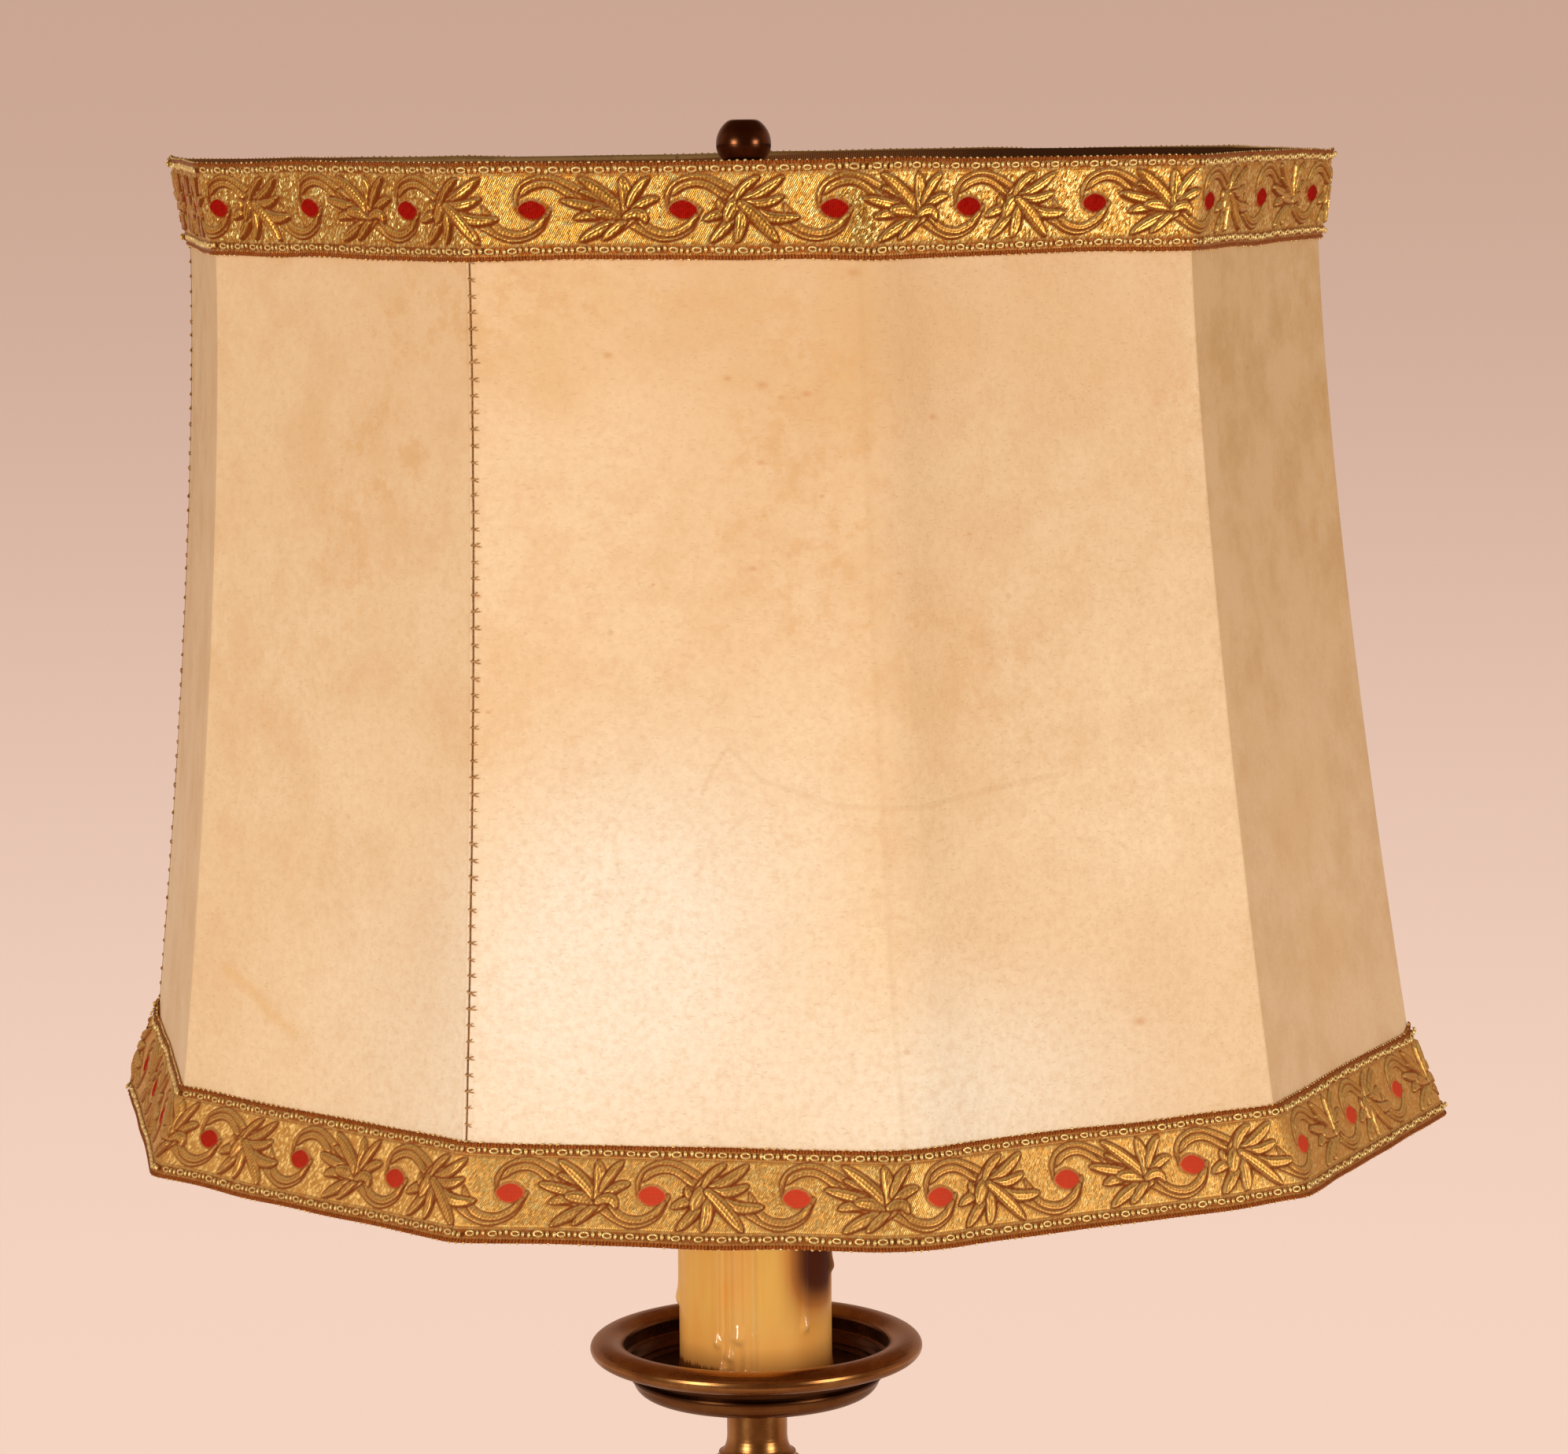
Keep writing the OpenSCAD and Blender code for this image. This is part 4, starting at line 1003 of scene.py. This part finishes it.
def make_trim(name, ribbon, finish):
    """The ribbon as four lengths that meet unseen, each a thin closed slab with its relief."""
    columns = round(ribbon.length / TRIM_CELL)
    rows = round(ribbon.width / TRIM_CELL)
    share = np.linspace(0, 1, rows + 1)[:, None]
    ends = np.linspace(0, columns, TRIM_LENGTHS + 1).round().astype(int)
    for number, (start, end) in enumerate(zip(ends, ends[1:]), 1):
        u = np.arange(start, end + 1)[None, :] * (ribbon.length / columns)
        u_all, share_all = np.broadcast_arrays(u, share)
        x, y = ribbon.drawn(u_all, share_all)
        height, marks = trim_relief(x, y)
        outer = ribbon.point(u_all, share_all, height * MM)
        u_back, share_back = np.broadcast_arrays(u, [[0.0], [0.5], [1.0]])
        inner = ribbon.point(u_back, share_back, np.full(u_back.shape, TRIM_BACK))
        points, faces = slab(outer, inner)
        marks["ribbon"] = np.stack([u_all, share_all * ribbon.width, 0 * u_all], -1)
        for mark, field in marks.items():
            flat = field.reshape(height.size, *field.shape[2:])
            behind = np.zeros((len(points) - height.size, *flat.shape[1:]))
            marks[mark] = np.concatenate([flat, behind])
        piece = new_piece(f"{name}_{number}", points, faces, finish, "shade", marks)
        if number == 1:
            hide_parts(name)
        flat = (ribbon.width, ribbon.length / TRIM_LENGTHS)


LOOP_PITCH = 7.7 * MM
PICOT_PITCH = 2.6 * MM
RIBBON_POINTS = 1200


def bead(at, size, around=6, rings=3):
    """A small half-round bead, flat side down, as points and faces."""
    turn = full_turn(around)
    lift = np.linspace(0, np.pi / 2, rings, endpoint=False)[:, None]
    x = np.cos(turn) * np.cos(lift) * size[0]
    y = np.sin(turn) * np.cos(lift) * size[1]
    z = np.sin(lift) * size[2] + 0 * turn
    points = np.concatenate([np.stack([x, y, z], -1).reshape(-1, 3), [[0, 0, size[2]]]]) + at
    last = (rings - 1) * around
    i = np.arange(around)
    cap = np.stack([last + i, last + (i + 1) % around, np.full(around, len(points) - 1)], -1)
    foot = i[::-1][None]
    return points, [grid_faces(rings, around, closed=True), cap, foot]


def border_motif():
    """One loop of gold thread and the two short stitches that follow it."""
    turn = np.linspace(0, 2 * np.pi, 11)
    ring = np.stack([1.5 * np.cos(turn), 0.85 * np.sin(turn), 0.2 + 0 * turn], -1) * MM
    loop = tube(ring, 0.42 * MM, 5)
    stitches = [bead(np.array([at, 0, 0]) * MM, np.array([0.7, 1.15, 0.9]) * MM) for at in (2.8, 5.0)]
    return loose_stitch("border_motif", [loop, *stitches])


def ribbon_line(ribbon, y, out):
    """A line along the ribbon at one height of the drawn ornament."""
    u = np.linspace(0, ribbon.length, RIBBON_POINTS)
    share = np.full_like(u, (y - RIBBON_LOW) / (RIBBON_HIGH - RIBBON_LOW))
    return ribbon.point(u, share, np.full_like(u, out)), ribbon.facing(u, share)


def make_trim_thread(name, ribbon, finish):
    """Loops of gold thread along both borders, and small picots along both edges."""
    seed = ribbon.seed
    loops = {"Pitch": LOOP_PITCH, "Turn": 0.12, "Smallest": 0.88, "Largest": 1.08, "Seed": seed}
    picots = {"Pitch": PICOT_PITCH, "Turn": 0.5, "Smallest": 0.6, "Largest": 1.25, "Seed": seed + 2}
    picot = loose_stitch("picot", [bead(np.zeros(3), np.array([0.55, 0.5, 0.45]) * MM)])
    edges = (RIBBON_LOW + 0.05, RIBBON_HIGH - 0.05)
    rows = (
        ("_border_loops", (-LOOPS_AT, LOOPS_AT), TRIM_BASE * MM + 0.05 * MM, border_motif(), loops),
        ("_picots", edges, 0.45 * MM, picot, picots),
    )
    for title, heights, out, stitch, sizes in rows:
        lines, facings = zip(*(ribbon_line(ribbon, y, out) for y in heights))
        stitch_row(name + title, lines, facings, stitch, finish, "shade", "brocade", **sizes)


def make_trims():
    finish, thread = brocade(), gold_thread()
    for name, ribbon in (("upper_trim", UPPER), ("lower_trim", LOWER)):
        make_trim(name, ribbon, finish)
        make_trim_thread(name, ribbon, thread)


make_trims()


# Binding tapes over the two rings

RIB_PITCH, RIB_DEPTH = 0.95 * MM, 0.22 * MM
TAPE_T = 0.5 * MM
# Out from the skin and up from the edge, from the tape's lower end inside to its fold
TAPE_FOLD = [(-5.6, -15), (-5.6, -3.2), (-5.0, -1.4), (-3.6, -0.6), (-1.6, -0.5), (-1.05, -0.9)]


def binding():
    f = Finish("ribbed binding tape", roughness=1.0, specular_ior_level=0.0)
    place = f.place()
    fuzz = f.noise(place, 900, 3, 0.6)
    rib = f.attribute("rib")
    # Painted shade on the tape's right side
    painted_tape_shade = f.parts(place)[0].step(0.03, 0.12) * 0.75
    # The ribs' ridges are painted pale and their grooves dark: painted light and shade
    colour = f.mix(rib * 0.75 + fuzz * 0.25, tone(54, 24, 10), tone(166, 104, 60))
    colour = f.mix(painted_tape_shade, colour, tone(48, 26, 14))
    f.set(base_color=colour, normal=f.bump(fuzz, 0.0002, 0.5))
    return f


def make_tape(name, edge, up, finish):
    """A tape that lies inside a ring of wire and folds over it to the skin; up is 1 or -1."""
    ring_z = edge - up * RING_DROP
    radius = skin_radius(np.array([ring_z]))[0]
    length = 2 * radius * math.sin(CORNER_TURN / 2) * SIDES
    count = round(length / RIB_PITCH)
    k = np.linspace(0, SIDES, 2 * count, endpoint=False)[None, :]
    ribs = np.tile([1.0, 0.0], count)[None, :]
    rib = ribs * RIB_DEPTH
    fold = np.array(TAPE_FOLD) * MM
    inset, drop = fold[:, :1], fold[:, 1:]
    turned_out = np.arange(len(fold))[:, None] > 1
    rise, thick = np.where(turned_out, up * rib, 0), np.where(turned_out, 0, rib)
    near = wall(k, edge + up * drop + rise, inset - thick)
    rise, thick = np.where(turned_out, TAPE_T, 0), np.where(turned_out, 0, TAPE_T)
    away = wall(k, edge + up * (drop - rise), inset + thick + 0 * k)
    outer, inner = (away, near) if up > 0 else (near, away)
    points, faces = slab(outer, inner, closed=True)
    marks = {"rib": np.tile(np.broadcast_to(ribs, near.shape[:2]).ravel(), 2)}
    if up < 0:
        faces = [np.asarray(group)[:, ::-1] for group in faces]
    piece = new_piece(name + "_binding", points, faces, finish, "shade", marks)
    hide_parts(name)


def make_tapes():
    finish = binding()
    make_tape("top_tape", SHADE_TOP, 1, finish)
    make_tape("bottom_tape", SHADE_FOOT, -1, finish)


make_tapes()


# The candle sleeve with its drips

CANDLE_LOW, CANDLE_HIGH = (corner.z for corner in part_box("candle_sleeve"))
CANDLE_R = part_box("candle_sleeve")[1].x
CANDLE_WALL = 2.4 * MM
CANDLE_AROUND, CANDLE_LEVELS = 260, 190
# Drips seen in front: degrees from the front towards +X, lower end above the foot, half width, rise
DRIPS = [
    (-13, 19, 3.0, 1.9), (-30, 17, 2.0, 1.4), (-26, 7, 1.8, 1.9), (-16, 3, 1.9, 2.1), (-8, 5, 1.6, 2.0),
    (-2, 3, 2.1, 2.1), (-20, 12, 1.6, 1.5), (40, 22, 2.2, 1.3), (-84, 29, 3.0, 1.3), (82, 41, 2.6, 1.2),
    (10, 60, 2.6, 1.1), (60, 64, 2.8, 1.2), (-52, 70, 2.8, 1.1),
]
BACK_DRIPS = 11


def candle_drips():
    random = np.random.default_rng(8)
    drips = list(DRIPS)
    for i in range(BACK_DRIPS):
        angle = 100 + 160 * (i + 0.6 * random.random()) / BACK_DRIPS
        drips.append((angle, random.uniform(8, 90), random.uniform(2.2, 3.4), random.uniform(1, 1.9)))
    return drips


def wax():
    f = Finish(
        "honey wax", roughness=0.32, specular_ior_level=0.12, coat_roughness=0.05, coat_ior=1.8,
        subsurface_weight=0.08, subsurface_scale=0.003,
    )
    place = f.place()
    x, y, z = f.parts(place)
    streaks = f.noise(f.stretched(place, (62, 62, 15)), 1, 5, 0.6)
    fine = f.noise(f.stretched(place, (900, 900, 26)), 1, 3, 0.6)
    clouds = f.noise(place, 42, 3, 0.5)
    drip = f.attribute("drip")
    height = z - CANDLE_LOW
    # Painted shadow of the shade on the candle's upper right, darker and duller there
    painted_shadow = x.step(0.006, 0.024) * (1 - y.step(-0.012, 0.004)) * height.step(0.018, 0.045)
    dirt = (1 - (height - fine * 0.006).step(0.0035, 0.0055)) * (1 - x.step(-0.018, -0.006))
    colour = f.layered(
        f.mix(streaks.step(0.25, 0.75), tone(255, 172, 72), tone(255, 198, 100)),
        (fine.step(0.5, 0.8) * 0.12, tone(208, 120, 44)),
        (clouds.step(0.5, 0.75) * 0.3, tone(255, 202, 118)),
        (drip * 0.35, tone(255, 204, 124)),
        # Painted warm light from the pan, near the foot
        ((1 - height.step(0.004, 0.034)) * 0.7, tone(255, 176, 92)),
        ((painted_shadow * 2).at_most(0.8), tone(188, 102, 36)),
        (painted_shadow.step(0.25, 0.85) * 0.96, tone(72, 20, 4)),
        (dirt * 0.85, tone(112, 44, 10)),
    )
    damp_foot = clouds.step(0.5, 0.7) * (1 - height.step(0.012, 0.03))
    wet = (drip * 0.7 + damp_foot * 0.3).at_most(0.9)
    f.set(base_color=colour, roughness=0.26 + fine * 0.12 + painted_shadow * 0.4)
    f.set(coat_weight=(1 - painted_shadow * 0.9) * (wet + 0.1))
    f.set(normal=f.bump(streaks + fine * 0.2, 0.0006, 0.06))
    return f


def make_candle():
    turn = full_turn(CANDLE_AROUND)[None, :]
    z = np.linspace(CANDLE_LOW, CANDLE_HIGH, CANDLE_LEVELS)[:, None]
    degrees = np.degrees(turn)
    swell = 0.25 * MM * np.sin(3 * turn + 40 * z) * np.sin(2 * turn + 1)
    swell = swell + 0.12 * MM * np.sin(11 * turn + 30 * z)
    flow = np.zeros(np.broadcast_shapes(turn.shape, z.shape))
    for angle, end, half, rise in candle_drips():
        off = np.abs((degrees - 270 - angle + 180) % 360 - 180) * math.pi / 180 * CANDLE_R / MM
        above = (z - CANDLE_LOW) / MM - end
        nose = bell(above, 1.4 * half) * 0.75
        body = ease(above, -1.2 * half, 0.4 * half) * (0.4 + nose)
        width = half * (0.62 + 0.5 * nose)
        across = np.clip(1 - (off / width) ** 2, 0, 1) ** 0.8
        flow = np.maximum(flow, rise * body * across * 1.1)
    pooled = 1.3 * np.exp(-(z - CANDLE_LOW) / (2.5 * MM)) * (0.5 + 0.5 * np.sin(turn * 2 + 1.1))
    r = CANDLE_R - 0.3 * MM + swell + (flow + pooled) * MM
    ends = np.array([[CANDLE_LOW], [CANDLE_HIGH]])
    outer, inner = (
        np.stack(np.broadcast_arrays(radius * np.cos(turn), radius * np.sin(turn), up), -1)
        for radius, up in ((r, z), (CANDLE_R - CANDLE_WALL, ends))
    )
    points, faces = slab(outer, inner, closed=True)
    drip = np.concatenate([np.clip(flow, 0, 1).ravel(), np.zeros(2 * CANDLE_AROUND)])
    piece = new_piece("candle_wax", points, faces, wax(), "lamp", {"drip": drip})
    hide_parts("candle_sleeve")


make_candle()


# Metals, glass and the rest of the model's own pieces


# The drip pan's inner radius, the levels of its floor and rim, its underside and its bead line
PAN_INSIDE = 0.0508
PAN_LEVELS = (0.4095, 0.4255)
PAN_UNDER, PAN_BEAD = 0.4032, 0.4107
# For each slot: name, dark, light and rubbed tone, roughness and, where unusual, size of patina
METALS = {
    "dark_bronze": ("aged bronze", (150, 98, 52), (174, 126, 72), (216, 168, 110), 0.26),
    "brass": ("dull brass", (176, 128, 62), (204, 160, 88), (226, 190, 122), 0.34),
    "finial_bronze": ("black bronze", (92, 52, 32), (112, 68, 42), (160, 112, 74), 0.22, 90),
    "steel": ("zinc-plated steel", (150, 150, 152), (186, 186, 188), (210, 210, 206), 0.36),
    "bulb_metal": ("rolled bulb cap", (178, 178, 180), (208, 208, 208), (226, 224, 220), 0.3),
}


def worn_metal(name, dark, light, rubbed, roughness, scale=60):
    """A metal with cloudy patina, rubbed patches, fine turning marks and small nicks, and painted shade
    in the drip pan's dish and on its lower body.
    """
    dark, light, rubbed = tone(*dark), tone(*light), tone(*rubbed)
    f = Finish(name, metallic=1.0, roughness=roughness)
    place = f.place()
    clouds = f.noise(place, scale, 4, 0.6)
    patches = f.noise(place, scale * 0.35, 3, 0.5).step(0.55, 0.75)
    nicks = (1 - f.cells(place, 130).step(0.02, 0.05)) * f.noise(place, 70).step(0.55, 0.62)
    turning = f.noise(f.stretched(place, (60, 60, 2600)), 1, 2, 0.5)
    x, y, z = f.parts(place)
    in_pan = 1 - (x * x + y * y).root().step(PAN_INSIDE - 0.0012, PAN_INSIDE + 0.0008)
    in_pan = in_pan * z.above(PAN_LEVELS[0]) * (1 - z.above(PAN_LEVELS[1]))
    under = z.above(PAN_UNDER) * (1 - z.step(PAN_BEAD - 0.001, PAN_BEAD + 0.002)) * (1 - in_pan)
    bead_line = (1 - (z - PAN_BEAD).size().step(0.0002, 0.0009)) * (1 - in_pan)
    colour = f.layered(
        f.mix(clouds.step(0.3, 0.7), dark, light),
        (patches * 0.5, rubbed),
        (nicks * 0.7, rubbed),
        # Painted shade in the pan's dish and on its lower body
        (in_pan * 0.85, tone(56, 24, 12)),
        (under * 0.55, tone(84, 44, 24)),
        (bead_line * 0.7, rubbed),
    )
    f.set(base_color=colour, roughness=roughness - 0.08 + clouds * 0.2)
    fine = f.bump(turning * 0.4 + clouds * 0.4, 0.00025, 0.22)
    f.set(normal=f.bump(1 - nicks, 0.0003, 0.5, fine))
    return f


def felt():
    f = Finish("green felt", roughness=0.95, sheen_weight=0.3)
    place = f.place()
    fibres = f.noise(f.stretched(place, (1, 1, 0.4)), 900, 4, 0.7)
    tufts = f.noise(place, 110, 4, 0.6)
    colour = f.mix(fibres, tone(34, 58, 40), tone(84, 112, 84))
    colour = f.mix(tufts.step(0.5, 0.8) * 0.4, colour, tone(58, 84, 60))
    f.set(base_color=colour, normal=f.bump(fibres, 0.0005, 0.8))
    return f


def porcelain():
    f = Finish("porcelain", roughness=0.16, coat_weight=0.3)
    place = f.place()
    clouds = f.noise(place, 60, 3, 0.5)
    specks = 1 - f.cells(place, 260).step(0.02, 0.05)
    colour = f.mix(clouds, tone(236, 232, 220), tone(248, 246, 238))
    f.set(base_color=f.mix(specks * 0.3, colour, tone(150, 130, 104)))
    f.set(roughness=0.12 + clouds * 0.14, normal=f.bump(clouds, 0.0004, 0.15))
    return f


def black_plastic():
    f = Finish("black moulded plastic", roughness=0.4)
    place = f.place()
    grain = f.noise(place, 900, 3, 0.6)
    dust = f.noise(place, 120, 4, 0.6).step(0.5, 0.8)
    colour = f.mix(dust * 0.35, tone(28, 23, 20), tone(66, 56, 46))
    f.set(base_color=colour, roughness=0.34 + grain * 0.2, normal=f.bump(grain, 0.0001, 0.4))
    return f


def bulb_glass():
    f = Finish("frosted bulb glass", roughness=0.35, specular_ior_level=0.5, coat_weight=0.2)
    place = f.place()
    haze = f.noise(place, 70, 4, 0.6)
    f.set(base_color=f.mix(haze, tone(232, 230, 222), tone(250, 248, 242)))
    f.set(roughness=0.28 + haze * 0.16, normal=f.bump(f.noise(place, 1400), 0.00006, 0.3))
    return f


def iron():
    f = Finish("cast iron", metallic=0.6, roughness=0.65)
    place = f.place()
    sand = f.noise(place, 520, 4, 0.7)
    rust = f.noise(place, 38, 5, 0.65).step(0.55, 0.7)
    colour = f.mix(sand, tone(50, 50, 52), tone(104, 102, 100))
    f.set(base_color=f.mix(rust * 0.7, colour, tone(116, 66, 38)))
    f.set(roughness=0.55 + rust * 0.3, normal=f.bump(sand, 0.0006, 0.8))
    return f


def gold_paint():
    f = Finish("gold-painted wire", metallic=0.45, roughness=0.45)
    place = f.place()
    runs = f.noise(place, 160, 4, 0.6)
    worn = f.noise(place, 300, 3, 0.6).step(0.62, 0.7)
    colour = f.mix(runs, tone(150, 116, 66), tone(196, 158, 98))
    f.set(base_color=f.mix(worn * 0.7, colour, tone(84, 66, 50)))
    f.set(roughness=0.38 + runs * 0.2, normal=f.bump(runs, 0.0003, 0.4))
    return f


def dress_nodes():
    """Gives each CAD node the finish of its slot in the record."""
    finishes = {slot: worn_metal(*row) for slot, row in METALS.items()}
    finishes |= {
        "cast_iron": iron(), "felt": felt(), "frame_wire": gold_paint(), "porcelain": porcelain(),
        "black_plastic": black_plastic(), "bulb_glass": bulb_glass(),
    }
    for row in frame["record"]["subparts"]:
        node, finish = nodes[row["node"]], finishes.get(row["material_slot"])
        if finish and not node.hide_render:
            for slot in node.material_slots:
                slot.material = finish.material


dress_nodes()


# Floor, lights and background

FLOOR_FADE = (0.75, 1.2)
BACKDROP_TOP, BACKDROP_LOW = tone(202, 166, 147), tone(245, 212, 193)
ROOM = tone(112, 78, 50)
AMBIENT, AMBIENT_COLOUR = 0.38, [1.0, 0.95, 0.9, 1]
# Two softboxes: their distance, height, size and colour, what they face, and for each its
# direction in degrees and its power
LAMP_DISTANCE, LAMP_HEIGHT = 2.2, 0.80
LAMP_SIZE = (0.65, 1.0)
LAMP_COLOUR = (1.0, 0.96, 0.91)
LAMP_AIM = Vector((0, 0, 0.66))
LAMPS = ((229, 24.5), (321, 20.5))


def make_floor():
    f = Finish("pale floor", roughness=0.8)
    x, y, _ = f.parts(f.place())
    f.set(base_color=tone(240, 208, 190), alpha=1 - (x * x + y * y).root().step(*FLOOR_FADE))
    rim = [(FLOOR_FADE[1] * math.cos(a), FLOOR_FADE[1] * math.sin(a), 0) for a in full_turn(96)]
    mesh = bpy.data.meshes.new("floor")
    mesh.from_pydata(rim, [], [list(range(len(rim)))])
    mesh.materials.append(f.material)
    link(bpy.data.objects.new("floor", mesh))


def make_lights():
    for number, (degrees, power) in enumerate(LAMPS):
        light = bpy.data.lights.new(f"softbox_{number}", "AREA")
        light.shape = "RECTANGLE"
        light.size, light.size_y = LAMP_SIZE
        light.energy = power
        light.color = LAMP_COLOUR
        turn = math.radians(degrees)
        place = Vector((LAMP_DISTANCE * math.cos(turn), LAMP_DISTANCE * math.sin(turn), LAMP_HEIGHT))
        lamp = link(bpy.data.objects.new(f"softbox_{number}", light))
        aim = (LAMP_AIM - place).to_track_quat("-Z", "Y")
        lamp.matrix_world = Matrix.Translation(place) @ aim.to_matrix().to_4x4()


def make_world():
    """Even soft light, and a pale backdrop for what looks past the lamp."""
    world = bpy.data.worlds.new("studio")
    bpy.context.scene.world = world
    world.use_nodes = True
    tree = Tree(world.node_tree)
    tree.nodes.nodes.clear()
    direction = tree.node("ShaderNodeTexCoord", output="Generated")
    _, back, up = tree.parts(direction)
    colour = tree.mix(up.step(-0.26, 0.03), BACKDROP_LOW, BACKDROP_TOP)
    rays = tree.node("ShaderNodeLightPath").socket.node.outputs
    # The room in front of the lamp and over it is dimmer than the backdrop
    dim = (1 - back.step(-0.35, 0.45)).at_least(up.step(0.1, 0.7)).at_least(0.2)
    dim = dim * Value(tree, rays["Is Glossy Ray"])
    seen = tree.node("ShaderNodeBackground", None, [tree.mix(dim, colour, ROOM), 1.0])
    light = tree.node("ShaderNodeBackground", None, [AMBIENT_COLOUR, AMBIENT])
    names = ("Is Camera Ray", "Is Glossy Ray", "Is Transmission Ray")
    camera, glossy, through = (Value(tree, rays[name]) for name in names)
    looking = camera.at_least(glossy).at_least(through)
    both = tree.node("ShaderNodeMixShader", None, [looking, light, seen])
    tree.put(tree.nodes.nodes.new("ShaderNodeOutputWorld").inputs["Surface"], both)


make_floor()
make_lights()
make_world()
bpy.context.scene.view_settings.view_transform = "Standard"
